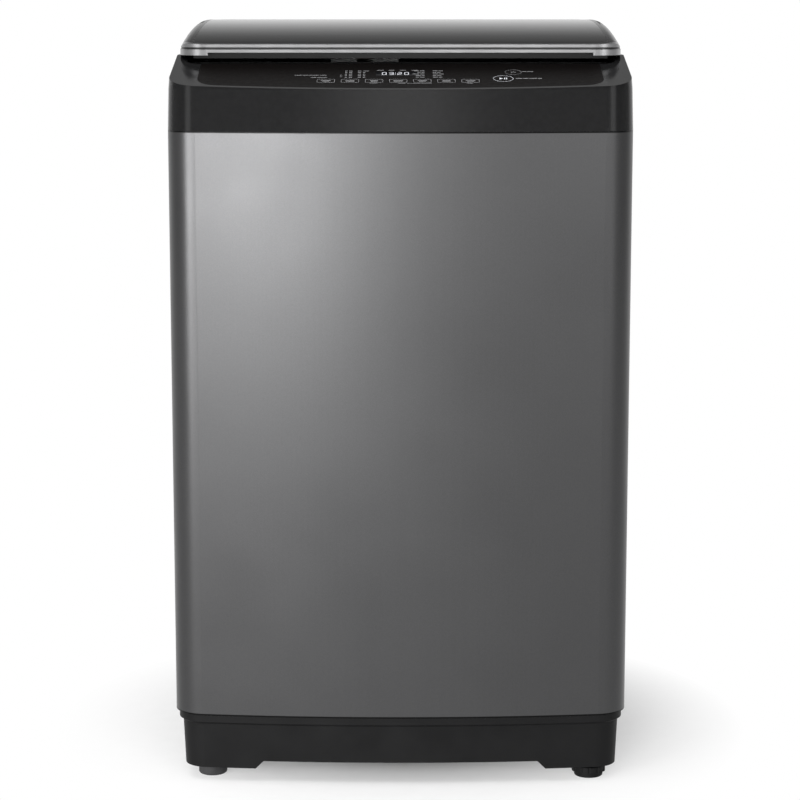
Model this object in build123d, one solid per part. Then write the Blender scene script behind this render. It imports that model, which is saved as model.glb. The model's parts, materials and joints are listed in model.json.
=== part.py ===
from build123d import *
import os
from math import cos, radians, sin, sqrt, tan

# Top load washing machine. Millimetres, +Z up, the front faces -Y.
# Origin: the floor under the middle of the machine.

# ------------------------------------------------------------ driving sizes
# Cabinet, seen from outside
CABINET_WIDTH = 560.0
CABINET_DEPTH = 556.0
CABINET_HEIGHT = 719.0
FRONT_BOW_RADIUS = 2118.0
FRONT_CORNER = 40.0
REAR_CORNER = 20.0
SHEET = 1.0
EDGE_FLANGE = 12.0          # turned-in top and bottom edges of the sheet
REAR_FLANGE = 40.0          # turned-in rear edges, measured from the side
REAR_BAND = 20.0            # sheet left above and below the rear window
CASING_WALL = 3.0           # moulded plastic wall

# Feet and base
FOOT_HEIGHT = 18.0
FOOT_RADIUS = 17.8
FOOT_SIDE = 44.0            # foot axis to the cabinet side
FOOT_SETBACK = 62.0         # fixed foot axis to the front
LEVELLER_RADIUS = 21.0
LEVELLER_SETBACK = 53.0
LEVELLER_LOBES = 12
LOBE_RADIUS = 2.4           # finger hollows round the knob
LEVELLER_TRAVEL = 12.0
KNOB_LOW = 6.0              # knob above the floor
KNOB_THICK = 8.0
KNOB_GAP = 1.5              # knob to the recess it rises into
STUD_RADIUS = 6.0
BASE_HEIGHT = 70.0
BASE_LIP = 10.0
LIP_INSET = 4.0
SKIRT_INSET = 8.5
SKIRT_DRAFT = 2.5
COVE_HEIGHT = 3.0
PAD_LENGTH = 102.0          # corner pads, measured from the cabinet side
PAD_DROP = 10.0
PAD_CHAMFER = 8.0
BASE_RIM = 45.0             # width of the base's top rim

# Top cover
FASCIA_HEIGHT = 49.5
FASCIA_DRAFT = 1.4
RAIL_RISE = 36.5            # side rails above the fascia's top edge
RAIL_LEAN = 3.2
DECK_SLOPE = 14.0
DECK_DEPTH = 108.0          # control deck, front to back
DECK_ROOF = 4.5
TONGUE = 9.0
POCKET_MARGIN = 18.0        # lid pocket to the cabinet side
POCKET_DEPTH = 9.0
POCKET_CORNER = 30.0
SCOOP_DEPTH = 25.0          # finger recess in front of the lid
SCOOP_LENGTH = 38.0
SCOOP_CORNER = 15.0
SCOOP_ROUND = 9.0           # rounding of the recess's floor
OPENING_WIDTH = 380.0
OPENING_DEPTH = 298.0
OPENING_CORNER = 90.0
OPENING_REAR = 100.0        # opening's rear edge to the cabinet's rear
COLLAR_DEPTH = 109.0        # collar below the pocket floor

# Control panel, in the sloping deck
OVERLAY_SIDE = 37.0         # overlay's edge to the cabinet side
OVERLAY_SETBACK = 8.0
OVERLAY_CORNER = 26.0
OVERLAY_THICK = 1.5
OVERLAY_GAP = 0.15
KEY_COUNT = 7
KEY_PITCH = 28.8
KEY_ROW_X = -2.75           # middle of the key row
KEY_ROW_SETBACK = 37.0
KEY_WIDTH = 22.0
KEY_LENGTH = 14.0
KEY_CORNER = 2.0
START_X = 123.0
START_SETBACK = 46.5
START_RADIUS = 12.5
POWER_X = 136.0
POWER_SETBACK = 72.5
POWER_RADIUS = 10.5
KEY_GAP = 0.3
KEY_TRAVEL = 1.0
KEY_LIP = 1.2
KEY_LIP_THICK = 1.5
KEY_STEM_RADIUS = 1.6
KEY_STEM_LENGTH = 3.5
SWITCH_SIZE = 6.0
SWITCH_HEIGHT = 4.0
DISPLAY_X = -4.0
DISPLAY_SETBACK = 67.0
DISPLAY_WIDTH = 52.0
DISPLAY_LENGTH = 17.0
DISPLAY_RIM = 1.0
BOARD_WIDTH = 330.0
BOARD_LENGTH = 66.0
BOARD_SETBACK = 56.0
BOARD_THICK = 1.6
POST_RADIUS = 4.0

# Lid and the deck behind it
LID_SIDE = 9.0              # lid edge to the cabinet side
LID_LIP = 2.0               # lid front beyond the deck's rear edge
LID_RISE = 36.9             # lid edge to the crown of its arch
LID_ARCH_RADIUS = 2400.0
LID_CROWN_SETBACK = 440.0
LID_CORNER = 34.0
LID_SHOULDER = 12.5
LID_GAP = 0.4
LID_WALL = 3.0
LID_NOSE = 9.0              # rounded rear edge, about the hinge axis
LID_HEEL = 16.0
LID_CAVE_FRONT = 45.0       # inner front wall behind the lid's front
LID_SKIRT_DROP = 5.0
GLASS_MARGIN = 17.0
GLASS_FRONT = 5.0
GLASS_REAR = 22.0
GLASS_THICK = 4.0
GLASS_CORNER = 22.0
GLASS_GAP = 0.2
LEDGE = 15.0
LEDGE_THICK = 3.0
TRIM_THICK = 5.0
TRIM_HEIGHT = 10.0
TRIM_REACH = 44.0           # how far the trim runs back along each side
TRIM_GROOVE = 1.4
TRIM_GROOVE_HEIGHT = 2.6
FINGER_MARGIN = 36.0        # trim's raised edge to the lid's side
REAR_DECK_DEPTH = 56.0
REAR_DECK_GAP = 2.0
HINGE_INSET = 45.0          # middle of a hinge to the cabinet side
HINGE_EAR = 10.0
EAR_SHANK_DROP = 6.0        # top of the ear's shank below the top of its eye
HINGE_PIN_RADIUS = 4.0
HINGE_PIN_LENGTH = 26.0
HINGE_CLEARANCE = 0.05
HINGE_SIDE_GAP = 1.0

# Lid lock
LOCK_INSET = 30.5           # lid lock's strike to the cabinet side
LOCK_Y = 23.0
LOCK_BODY = 38.0
LOCK_WIDTH = 30.0
LOCK_HEIGHT = 24.0
BOLT_RADIUS = 4.0
BOLT_LENGTH = 30.0
STRIKE_THICK = 3.0
STRIKE_WIDTH = 14.0
STRIKE_GAP = 3.0

# Detergent drawer
DRAWER_X = -48.0
DRAWER_WIDTH = 92.0
DRAWER_HEIGHT = 45.0
DRAWER_DEPTH = 76.0
DRAWER_GAP = 0.5
DRAWER_WALL = 2.0

# Water in and out
SPIGOT_REACH = 16.0
INLET_INSET = 85.0          # inlet axis to the cabinet side
INLET_DROP = 31.0           # inlet axis below the rails
INLET_RADIUS = 13.2
INLET_BORE = 8.0
SHOULDER = 1.5              # step that a hose nut or a hose stops against
INLET_BODY = 40.0
INLET_PIPE_RADIUS = 7.0
DRAIN_INSET = 80.0          # drain axis to the cabinet side
DRAIN_RISE = 62.0           # drain axis above the cabinet's bottom
DRAIN_RADIUS = 16.0
DRAIN_FLANGE = 24.0
DRAIN_BORE = 12.0
DRAIN_HOSE_RADIUS = 13.0
DRAIN_HOSE_BEND = 26.0
GLAND_INSET = 80.0          # cord gland to the cabinet side
GLAND_RADIUS = 4.5
GLAND_BOSS = 9.0
GLAND_LENGTH = 6.0

# Tub and what hangs under it
TUB_SWAY = 30.0             # tub wall to the cabinet
TUB_WALL = 3.0
TUB_RIM = 4.0
DRIVE_SPACE = 120.0         # base to the tub's floor
TUB_FLOOR = 5.0
TUB_HEADROOM = 72.0         # tub rim to the cabinet top
TUB_COVER_RISE = 13.0
TUB_COVER_MOUTH = 205.0
BOSS_WALL = 5.0
BOSS_HEIGHT = 9.0
ROD_RADIUS = 4.0
ROD_INSET = 73.0            # rod axis to the cabinet side
ROD_HOLE = 9.0
ROD_FOOT_RADIUS = 17.0
ROD_FOOT_THICK = 3.0
ROD_FOOT_DROP = 18.0        # rod end below the tub's floor
ROD_HEAD_RADIUS = 10.0
ROD_HEAD_THICK = 7.0
BRACKET_THICK = 3.0
BRACKET_DROP = 18.0
BRACKET_SKIRT = 28.0
BRACKET_REACH = 105.0
EAR_RISE = 88.0             # suspension ears above the tub's floor
EAR_THICK = 8.0
EAR_RADIUS = 24.0
CUP_RADIUS = 21.0
CUP_HEIGHT = 60.0
CUP_WALL = 2.5
SPRING_RADIUS = 15.0        # middle of the wire
SPRING_WIRE = 2.0
SPRING_TURNS = 5

# Basket and pulsator
BASKET_GAP = 15.0           # basket wall to the tub wall
BASKET_SHEET = 1.0
BASKET_FLOOR_RISE = 28.0    # basket bottom above the tub's floor
FLOOR_THICK = 3.0
FLOOR_RIM_HEIGHT = 40.0
PULSATOR_RADIUS = 186.0
PULSATOR_GAP = 3.0
PULSATOR_RIM = 8.0
PULSATOR_DOME = 24.0
PULSATOR_WALL = 3.0
PULSATOR_NECK = 65.0         # where the cone meets the flatter dish
NECK_SHARE = 0.35           # height of that place, as a share of the dome
VANE_COUNT = 6
VANE_THICK = 16.0
VANE_HEIGHT = 26.0
VANE_SETBACK = 16.0         # vane end to the pulsator's rim
VANE_CREST = 112.0          # radius where the vanes are highest
VANE_BOW = 30.0
RING_HEIGHT = 34.0
RING_WIDTH = 36.0
RING_GAP = 5.0
RING_LIP = 3.0
FILTER_WIDTH = 74.0
FILTER_HEIGHT = 210.0
FILTER_THICK = 14.0
FILTER_RISE = 190.0
HUB_RADIUS = 30.0
HUB_HEIGHT = 12.0
ARM_THICK = 8.0
ARM_RADIUS = 12.0
ARM_COUNT = 6
SPIN_RADIUS = 17.5
WASH_RADIUS = 7.5
SHAFT_CLEARANCE = 0.1
CAP_RADIUS = 20.0

# Drive
CHASSIS_THICK = 4.0
CHASSIS_RADIUS = 92.0
CASE_RADIUS = 75.0
CASE_HEIGHT = 70.0
CASE_SPIGOT = 40.0
CASE_SPIGOT_HEIGHT = 10.0
BEARING_RADIUS = 30.0
BEARING_THICK = 12.0
PULLEY_RADIUS = 68.0        # where the belt runs
PULLEY_RIM = 4.0
PULLEY_WIDTH = 14.0
PULLEY_DROP = 16.0          # gearbox case to the pulley
BELT_RATIO = 3.0
BELT_THICK = 7.0
BELT_WIDTH = 7.4
BELT_GAP = 0.3
MOTOR_OFFSET = 150.0
MOTOR_RADIUS = 60.0
MOTOR_HEIGHT = 76.0
MOTOR_PLATE = 8.0
VALVE_OFFSET = 138.0        # drain valve behind the tub's axis
VALVE_RADIUS = 18.0
VALVE_LENGTH = 70.0
VALVE_DROP = 30.0
VALVE_TRAVEL = 14.0
PLUNGER_RADIUS = 3.0
ACTUATOR_GAP = 40.0
ACTUATOR_LENGTH = 50.0
ACTUATOR_WIDTH = 40.0

# Fasteners
SCREW_RADIUS = 1.9
SCREW_HOLE = 2.1
SCREW_HEAD = 4.5
SCREW_HEAD_THICK = 2.2
SCREW_LENGTH = 9.0
SERVICE_WIDTH = 320.0
SERVICE_HEIGHT = 260.0
SERVICE_RISE = 32.0         # service opening above the cabinet's bottom
SERVICE_LAP = 12.0
LOUVRE_LENGTH = 64.0
LOUVRE_WIDTH = 4.0
LOUVRE_PITCH = 22.0
LOUVRE_COLUMNS = 3
LOUVRE_ROWS = 5

SLIP = 0.3                  # clearance between pieces that move apart
FIT = 0.1                   # clearance between seated pieces

# ------------------------------------------------------------ derived places
HALF_WIDTH = CABINET_WIDTH / 2
FRONT_Y = -(CABINET_DEPTH + SPIGOT_REACH) / 2
REAR_Y = FRONT_Y + CABINET_DEPTH
BASE_TOP = FOOT_HEIGHT + BASE_HEIGHT
CABINET_TOP = BASE_TOP + CABINET_HEIGHT
FASCIA_TOP = CABINET_TOP + FASCIA_HEIGHT
RAIL_TOP = FASCIA_TOP + RAIL_RISE
SLOPE = tan(radians(DECK_SLOPE))
DECK = Plane(
    origin=(0, FRONT_Y, FASCIA_TOP),
    x_dir=(1, 0, 0),
    z_dir=(0, -sin(radians(DECK_SLOPE)), cos(radians(DECK_SLOPE))),
)
DECK_REAR = FRONT_Y + DECK_DEPTH
POCKET_FLOOR = RAIL_TOP - POCKET_DEPTH
POCKET_HALF = HALF_WIDTH - POCKET_MARGIN
OPENING_Y = REAR_Y - OPENING_REAR - OPENING_DEPTH / 2
OPENING_BACK = OPENING_Y + OPENING_DEPTH / 2

REAR_DECK_FRONT = REAR_Y - REAR_DECK_DEPTH
LID_HALF = HALF_WIDTH - LID_SIDE
HINGE_X = HALF_WIDTH - HINGE_INSET
LOCK_X = HALF_WIDTH - LOCK_INSET
GLAND_X = GLAND_INSET - HALF_WIDTH
LID_FRONT = DECK_REAR - LID_LIP
LID_REAR = REAR_DECK_FRONT - REAR_DECK_GAP
LID_BOTTOM = RAIL_TOP + LID_GAP
LID_CROWN_Y = FRONT_Y + LID_CROWN_SETBACK
LID_CROWN_Z = LID_BOTTOM + LID_RISE
HINGE_Y = LID_REAR - LID_NOSE
POCKET_REAR = HINGE_Y + FIT

TUB_Y = FRONT_Y + CABINET_DEPTH / 2
TUB_RADIUS = min(CABINET_WIDTH, CABINET_DEPTH) / 2 - TUB_SWAY
TUB_BOTTOM = BASE_TOP + DRIVE_SPACE
TUB_TOP = CABINET_TOP - TUB_HEADROOM
CHASSIS_BOTTOM = TUB_BOTTOM - CHASSIS_THICK
CASE_BOTTOM = CHASSIS_BOTTOM - CASE_HEIGHT
PULLEY_TOP = CASE_BOTTOM - PULLEY_DROP
PULLEY_BOTTOM = PULLEY_TOP - PULLEY_WIDTH
MOTOR_PULLEY_RADIUS = PULLEY_RADIUS / BELT_RATIO
SEAL_BOTTOM = CHASSIS_BOTTOM + CASE_SPIGOT_HEIGHT
BASKET_RADIUS = TUB_RADIUS - TUB_WALL - BASKET_GAP
BASKET_BOTTOM = TUB_BOTTOM + BASKET_FLOOR_RISE
RING_TOP = TUB_TOP - RING_GAP
RING_BOTTOM = RING_TOP - RING_HEIGHT
PULSATOR_BOTTOM = BASKET_BOTTOM + FLOOR_THICK + PULSATOR_GAP
PULSATOR_TOP = PULSATOR_BOTTOM + PULSATOR_RIM + PULSATOR_DOME
EAR_BOTTOM = TUB_BOTTOM + EAR_RISE
BRACKET_TOP = CABINET_TOP - BRACKET_DROP
ROD_X = HALF_WIDTH - ROD_INSET
ROD_Y = CABINET_DEPTH / 2 - ROD_INSET
ROD_FOOT_Z = TUB_BOTTOM - ROD_FOOT_DROP
ROD_SPOTS = [(sx * ROD_X, TUB_Y + sy * ROD_Y) for sx in (-1, 1) for sy in (-1, 1)]
VALVE_Y = TUB_Y + VALVE_OFFSET
VALVE_Z = TUB_BOTTOM - VALVE_DROP
INLET_X = HALF_WIDTH - INLET_INSET
INLET_Z = RAIL_TOP - INLET_DROP
DRAIN_X = DRAIN_INSET - HALF_WIDTH
DRAIN_Z = BASE_TOP + DRAIN_RISE
SERVICE_Z = BASE_TOP + SERVICE_RISE + SERVICE_HEIGHT / 2
PANEL_HALF = HALF_WIDTH - REAR_CORNER - 2 * FIT
PANEL_LOW = BASE_TOP + SHEET + FIT
PANEL_HIGH = CABINET_TOP - SHEET - FIT
SCREW_ROWS = [PANEL_LOW + share * (PANEL_HIGH - PANEL_LOW) for share in (0.08, 0.36, 0.64, 0.92)]
SCREW_X = HALF_WIDTH - (REAR_CORNER + REAR_FLANGE) / 2
PANEL_SCREWS = [(side * SCREW_X, z) for side in (-1, 1) for z in SCREW_ROWS]
COVER_SCREWS = [
    (sx * (SERVICE_WIDTH + SERVICE_LAP) / 2, SERVICE_Z + sz * SERVICE_HEIGHT / 3)
    for sx in (-1, 1)
    for sz in (-1, 1)
]


# ------------------------------------------------------------ shared forms
def block(x_range, y_range, z_range):
    """Box between two limits on each axis."""
    ranges = (x_range, y_range, z_range)
    middle = [(low + high) / 2 for low, high in ranges]
    size = [high - low for low, high in ranges]
    return Pos(*middle) * Box(*size)


def disc(radius, bottom, top, x=0.0, y=0.0):
    """Upright cylinder between two heights."""
    return Pos(x, y, bottom) * extrude(Circle(radius), top - bottom)


def barrel(radius, start, length, direction):
    """Cylinder that leaves a point along a direction."""
    return extrude(Plane(start, z_dir=direction) * Circle(radius), length)


def turned(*points):
    """Solid of revolution about the tub's axis from (radius, height) points."""
    profile = make_face(Polyline(*points, close=True))
    return Pos(0, TUB_Y, 0) * revolve(Plane.XZ * profile, Axis.Z)


def upright(width, depth, corner, bottom, top, x=0.0, y=0.0):
    """Prism with a rounded rectangle as its outline."""
    return Pos(x, y, bottom) * extrude(RectangleRounded(width, depth, corner), top - bottom)


def bowed(half, apex, bow, back, front_corner, rear_corner):
    """Outline with a bowed front, straight sides and rounded corners."""
    side = apex + bow - sqrt(bow**2 - half**2)
    front = ThreePointArc((-half, side), (0, apex), (half, side))
    rest = Polyline((half, side), (half, back), (-half, back), (-half, side))
    face = make_face(front + rest)
    face = fillet(face.vertices().sort_by(Axis.Y)[:2], front_corner)
    return fillet(face.vertices().sort_by(Axis.Y)[-2:], rear_corner)


def plan(inset):
    """Cabinet outline seen from above, set in by inset."""
    return bowed(
        HALF_WIDTH - inset,
        FRONT_Y + inset,
        FRONT_BOW_RADIUS - inset,
        REAR_Y - inset,
        FRONT_CORNER - inset,
        max(REAR_CORNER - inset, CASING_WALL),
    )


def drafted(low_inset, low, high_inset, high):
    """Solid that follows the cabinet outline from one inset to another."""
    return loft([Pos(0, 0, low) * plan(low_inset), Pos(0, 0, high) * plan(high_inset)], ruled=True)


def hoop(outer_inset, inner_inset, bottom, top):
    """Upright wall that follows the cabinet outline."""
    return Pos(0, 0, bottom) * extrude(plan(outer_inset) - plan(inner_inset), top - bottom)


# ------------------------------------------------------------ base and feet
def pad_gap(grow):
    """Space between the corner pads, under the base, grown by a wall."""
    half = HALF_WIDTH - PAD_LENGTH
    low = FOOT_HEIGHT - PAD_DROP
    top = FOOT_HEIGHT + PAD_DROP + grow
    run = half - PAD_CHAMFER + grow
    drop = half + PAD_DROP - PAD_CHAMFER + grow
    corners = [(-drop, low), (-drop, FOOT_HEIGHT), (-run, top), (run, top), (drop, FOOT_HEIGHT), (drop, low)]
    face = make_face(Polyline(corners, close=True))
    across = extrude(Plane.XZ * face, CABINET_DEPTH, both=True)
    along = extrude(Plane.YZ * face, CABINET_WIDTH, both=True)
    return across + Pos(0, TUB_Y, 0) * along


def foot_spots():
    """Axes of the three fixed feet."""
    x = HALF_WIDTH - FOOT_SIDE
    rear = REAR_Y - FOOT_SIDE
    return [(-x, FRONT_Y + FOOT_SETBACK), (-x, rear), (x, rear)]


def leveller_spot():
    """Axis of the levelling foot, front right."""
    return HALF_WIDTH - FOOT_SIDE, FRONT_Y + LEVELLER_SETBACK


def base_frame():
    """Moulded base: lip, cove, skirt, top rim and four corner pads with bosses."""
    skirt_top = BASE_TOP - BASE_LIP - COVE_HEIGHT
    low_inset = SKIRT_INSET + SKIRT_DRAFT
    body = drafted(low_inset, FOOT_HEIGHT, SKIRT_INSET, skirt_top)
    body += drafted(SKIRT_INSET, skirt_top, LIP_INSET + CASING_WALL / 2, BASE_TOP - BASE_LIP)
    body += Pos(0, 0, BASE_TOP - BASE_LIP) * extrude(plan(LIP_INSET), BASE_LIP)
    body -= pad_gap(0)
    hollow_inset = low_inset + CASING_WALL
    hollow = Pos(0, 0, FOOT_HEIGHT + CASING_WALL) * extrude(plan(hollow_inset), BASE_HEIGHT - 2 * CASING_WALL)
    body -= hollow - pad_gap(CASING_WALL)
    well_width = CABINET_WIDTH - 2 * (LIP_INSET + BASE_RIM)
    well_depth = CABINET_DEPTH - 2 * (LIP_INSET + BASE_RIM)
    body -= upright(well_width, well_depth, BASE_RIM, 0, BASE_TOP + 1, y=TUB_Y)
    bosses = [(x, y, FOOT_RADIUS) for x, y in foot_spots()] + [(*leveller_spot(), LEVELLER_RADIUS)]
    for x, y, radius in bosses:
        body += disc(radius, FOOT_HEIGHT, BASE_TOP, x, y)
    for x, y, radius in bosses:
        body -= disc(STUD_RADIUS + FIT, 0, BASE_TOP - CASING_WALL, x, y)
    recess_top = KNOB_LOW + KNOB_THICK + LEVELLER_TRAVEL + SLIP
    return body - disc(LEVELLER_RADIUS + KNOB_GAP, 0, recess_top, *leveller_spot())


def fixed_feet():
    """Three rubber feet with stems pressed into the base."""
    feet = Part()
    for x, y in foot_spots():
        sole = fillet(disc(FOOT_RADIUS, 0, FOOT_HEIGHT, x, y).edges().group_by(Axis.Z)[0], CASING_WALL)
        feet += sole + disc(STUD_RADIUS, FOOT_HEIGHT, FOOT_HEIGHT + BASE_HEIGHT / 2, x, y)
    return feet


def levelling_foot():
    """Screwed foot with a lobed knob for turning by hand."""
    x, y = leveller_spot()
    knob = disc(LEVELLER_RADIUS, KNOB_LOW, KNOB_LOW + KNOB_THICK, x, y)
    for grip in PolarLocations(LEVELLER_RADIUS + LOBE_RADIUS / 2, LEVELLER_LOBES):
        knob -= Pos(x, y, 0) * grip * Cylinder(LOBE_RADIUS, 4 * FOOT_HEIGHT)
    sole = fillet(disc(FOOT_RADIUS, 0, KNOB_LOW, x, y).edges().group_by(Axis.Z)[0], CASING_WALL / 2)
    stud = disc(STUD_RADIUS, 0, FOOT_HEIGHT + BASE_HEIGHT / 2, x, y)
    return knob + sole + stud


# ------------------------------------------------------------ cabinet
def cabinet_wrap():
    """Bent steel sheet: front and sides in one, with turned-in edges."""
    wrap = hoop(0, SHEET, BASE_TOP, CABINET_TOP)
    wrap += hoop(SHEET / 2, SHEET + EDGE_FLANGE, BASE_TOP, BASE_TOP + SHEET)
    wrap += hoop(SHEET / 2, SHEET + EDGE_FLANGE, CABINET_TOP - SHEET, CABINET_TOP)
    window_half = HALF_WIDTH - REAR_FLANGE
    window = block(
        (-window_half, window_half),
        (REAR_Y - 2 * SHEET, REAR_Y + SHEET),
        (BASE_TOP + REAR_BAND, CABINET_TOP - REAR_BAND),
    )
    return wrap - window - screw_holes(PANEL_SCREWS)


def screw_holes(spots):
    """Holes for screws that come in from behind."""
    holes = Part()
    for x, z in spots:
        holes += barrel(SCREW_HOLE, (x, REAR_Y + SCREW_LENGTH, z), 2 * SCREW_LENGTH, (0, -1, 0))
    return holes


def screws(spots, face_y):
    """Domed screws whose heads bear on a face."""
    group = Part()
    for x, z in spots:
        head = barrel(SCREW_HEAD, (x, face_y, z), SCREW_HEAD_THICK, (0, 1, 0))
        group += chamfer(head.edges().group_by(Axis.Y)[-1], SCREW_HEAD_THICK / 2)
        group += barrel(SCREW_RADIUS, (x, face_y, z), SCREW_LENGTH, (0, -1, 0))
    return group


def rear_panel():
    """Steel back with pressed ribs, a service opening and the drain hole."""
    inner = REAR_Y - 2 * SHEET
    outer = REAR_Y - SHEET
    panel = block((-PANEL_HALF, PANEL_HALF), (inner, outer), (PANEL_LOW, PANEL_HIGH))
    rib = Plane.XZ * SlotOverall(SERVICE_WIDTH, FLOOR_THICK * 5)
    for z in SCREW_ROWS[2:]:
        panel += Pos(0, outer, z) * extrude(rib, -SHEET)
    service = (SERVICE_WIDTH / 2, SERVICE_HEIGHT / 2)
    panel -= block(
        (-service[0], service[0]),
        (inner - SHEET, outer + SHEET),
        (SERVICE_Z - service[1], SERVICE_Z + service[1]),
    )
    panel -= barrel(DRAIN_RADIUS + SHOULDER + FIT, (DRAIN_X, inner - SHEET, DRAIN_Z), 4 * SHEET, (0, 1, 0))
    return panel - screw_holes(PANEL_SCREWS) - screw_holes(COVER_SCREWS)


def service_cover():
    """Plate over the service opening, with a louvre field."""
    half_width = SERVICE_WIDTH / 2 + SERVICE_LAP
    half_height = SERVICE_HEIGHT / 2 + SERVICE_LAP
    seat = REAR_Y - SHEET
    cover = block(
        (-half_width, half_width),
        (seat, seat + SHEET),
        (SERVICE_Z - half_height, SERVICE_Z + half_height),
    )
    slit = extrude(Plane.XZ * SlotOverall(LOUVRE_LENGTH, LOUVRE_WIDTH), REAR_FLANGE, both=True)
    for spot in GridLocations(LOUVRE_LENGTH + LOUVRE_PITCH, LOUVRE_PITCH, LOUVRE_COLUMNS, LOUVRE_ROWS):
        cover -= Pos(spot.position.X, REAR_Y, SERVICE_Z + spot.position.Y) * slit
    return cover - screw_holes(COVER_SCREWS)


def corner_brackets():
    """Four pressed brackets under the cabinet's top corners that carry the rods."""
    plate = Pos(0, 0, BRACKET_TOP - BRACKET_THICK) * extrude(plan(SHEET), BRACKET_THICK)
    skirt = hoop(SHEET, SHEET + BRACKET_THICK, BRACKET_TOP - BRACKET_SKIRT, BRACKET_TOP)
    skirt -= block(
        (-HALF_WIDTH, HALF_WIDTH),
        (REAR_Y - 2 * SHEET - FIT, REAR_Y),
        (0, CABINET_TOP),
    )
    plate -= block((-HALF_WIDTH, HALF_WIDTH), (REAR_Y - 2 * SHEET - FIT, REAR_Y), (0, CABINET_TOP))
    keep = Part()
    reach = BRACKET_REACH
    outline = [(0, 0), (-reach, 0), (-reach, -reach / 3), (-reach / 3, -reach), (0, -reach)]
    corner = make_face(Polyline(outline, close=True))
    for sx in (-1, 1):
        for sy in (-1, 1):
            spot = Pos(sx * HALF_WIDTH, TUB_Y + sy * CABINET_DEPTH / 2, 0)
            turn = corner if sx > 0 else mirror(corner, Plane.YZ)
            turn = turn if sy > 0 else mirror(turn, Plane.XZ)
            keep += spot * extrude(turn, CABINET_TOP)
    brackets = (plate + skirt) & keep
    for x, y in ROD_SPOTS:
        brackets -= disc(ROD_RADIUS + 2 * SLIP, 0, CABINET_TOP, x, y)
    return brackets


def suspension_rods():
    """Four rods with domed heads on the brackets and plates that hold the springs."""
    rods = Part()
    for x, y in ROD_SPOTS:
        rod = disc(ROD_RADIUS, ROD_FOOT_Z, BRACKET_TOP + SHEET, x, y)
        rod += disc(ROD_FOOT_RADIUS, ROD_FOOT_Z, ROD_FOOT_Z + ROD_FOOT_THICK, x, y)
        head = disc(ROD_HEAD_RADIUS, BRACKET_TOP, BRACKET_TOP + ROD_HEAD_THICK, x, y)
        rods += rod + fillet(head.edges().group_by(Axis.Z)[-1], ROD_HEAD_THICK - SHEET)
    return rods


def spring_limits():
    """Lower and upper seats of the suspension springs."""
    return ROD_FOOT_Z + ROD_FOOT_THICK, EAR_BOTTOM - CUP_WALL


def suspension_springs():
    """Four coil springs between the rods' plates and the damper cups."""
    low, high = spring_limits()
    rise = high - low - SPRING_WIRE - 2 * FIT
    path = Helix(pitch=rise / SPRING_TURNS, height=rise, radius=SPRING_RADIUS)
    section = Plane(path @ 0, z_dir=path % 0) * Rectangle(SPRING_WIRE, SPRING_WIRE)
    coil = sweep(section, path, is_frenet=True)
    springs = Part()
    for x, y in ROD_SPOTS:
        springs += Pos(x, y, low + SPRING_WIRE / 2 + FIT) * coil
    return springs


# ------------------------------------------------------------ top cover
def deck_height(y):
    """Height of the sloping deck's surface at a depth."""
    return FASCIA_TOP + SLOPE * (y - FRONT_Y)


def cover_form(wall, roof):
    """Outer form of the top cover, thinned by a wall and a roof."""
    low = drafted(wall, CABINET_TOP, FASCIA_DRAFT + wall, FASCIA_TOP)
    high = drafted(FASCIA_DRAFT + wall, FASCIA_TOP, FASCIA_DRAFT + RAIL_LEAN + wall, RAIL_TOP)
    rail_start = FRONT_Y + RAIL_RISE / SLOPE
    front = FRONT_Y - CASING_WALL
    side = Polyline(
        (front, CABINET_TOP),
        (front, deck_height(front) - roof),
        (rail_start, RAIL_TOP - roof),
        (REAR_Y, RAIL_TOP - roof),
        (REAR_Y, CABINET_TOP),
        close=True,
    )
    profile = extrude(Plane.YZ * make_face(side), HALF_WIDTH, both=True)
    return (low + high) & profile


def pocket(grow, bottom):
    """Space for the lid's skirt, grown by a wall."""
    front = DECK_REAR - grow
    depth = POCKET_REAR + grow - front
    half = POCKET_HALF + grow
    middle = front + depth / 2
    return upright(2 * half, depth, POCKET_CORNER + grow, bottom, RAIL_TOP + POCKET_DEPTH, y=middle)


def scoop(grow):
    """Finger recess across the front of the pocket, grown by a wall."""
    front = DECK_REAR - grow
    depth = SCOOP_LENGTH + 2 * grow
    bottom = RAIL_TOP - SCOOP_DEPTH - grow
    body = upright(2 * (POCKET_HALF + grow), depth, SCOOP_CORNER, bottom, RAIL_TOP, y=front + depth / 2)
    return fillet(body.edges().group_by(Axis.Z)[0], SCOOP_ROUND)


def collar(grow, bottom):
    """Laundry opening through the cover, grown by a wall."""
    return upright(
        OPENING_WIDTH + 2 * grow,
        OPENING_DEPTH + 2 * grow,
        OPENING_CORNER + grow,
        bottom,
        RAIL_TOP,
        y=OPENING_Y,
    )


def deck_spot(x, setback):
    """Place on the deck's surface, by its distance behind the front."""
    return DECK.location * Pos(x, setback / cos(radians(DECK_SLOPE)), 0)


def overlay_outline(inset):
    """Outline of the control overlay seen from above."""
    return bowed(
        HALF_WIDTH - OVERLAY_SIDE - inset,
        FRONT_Y + OVERLAY_SETBACK + inset,
        FRONT_BOW_RADIUS - OVERLAY_SETBACK - inset,
        DECK_REAR - FIT - inset,
        OVERLAY_CORNER - inset,
        CASING_WALL,
    )


def deck_layer(top, bottom):
    """Slab parallel to the deck between two depths below its surface."""
    sheet = Rectangle(2 * CABINET_WIDTH, 2 * CABINET_DEPTH)
    return DECK.location * Pos(0, 0, -bottom) * extrude(sheet, bottom - top)


def overlay_seat(inset, top, bottom):
    """Overlay-shaped piece of a deck layer."""
    column = extrude(overlay_outline(inset), RAIL_TOP)
    return column & deck_layer(top, bottom)


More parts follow.
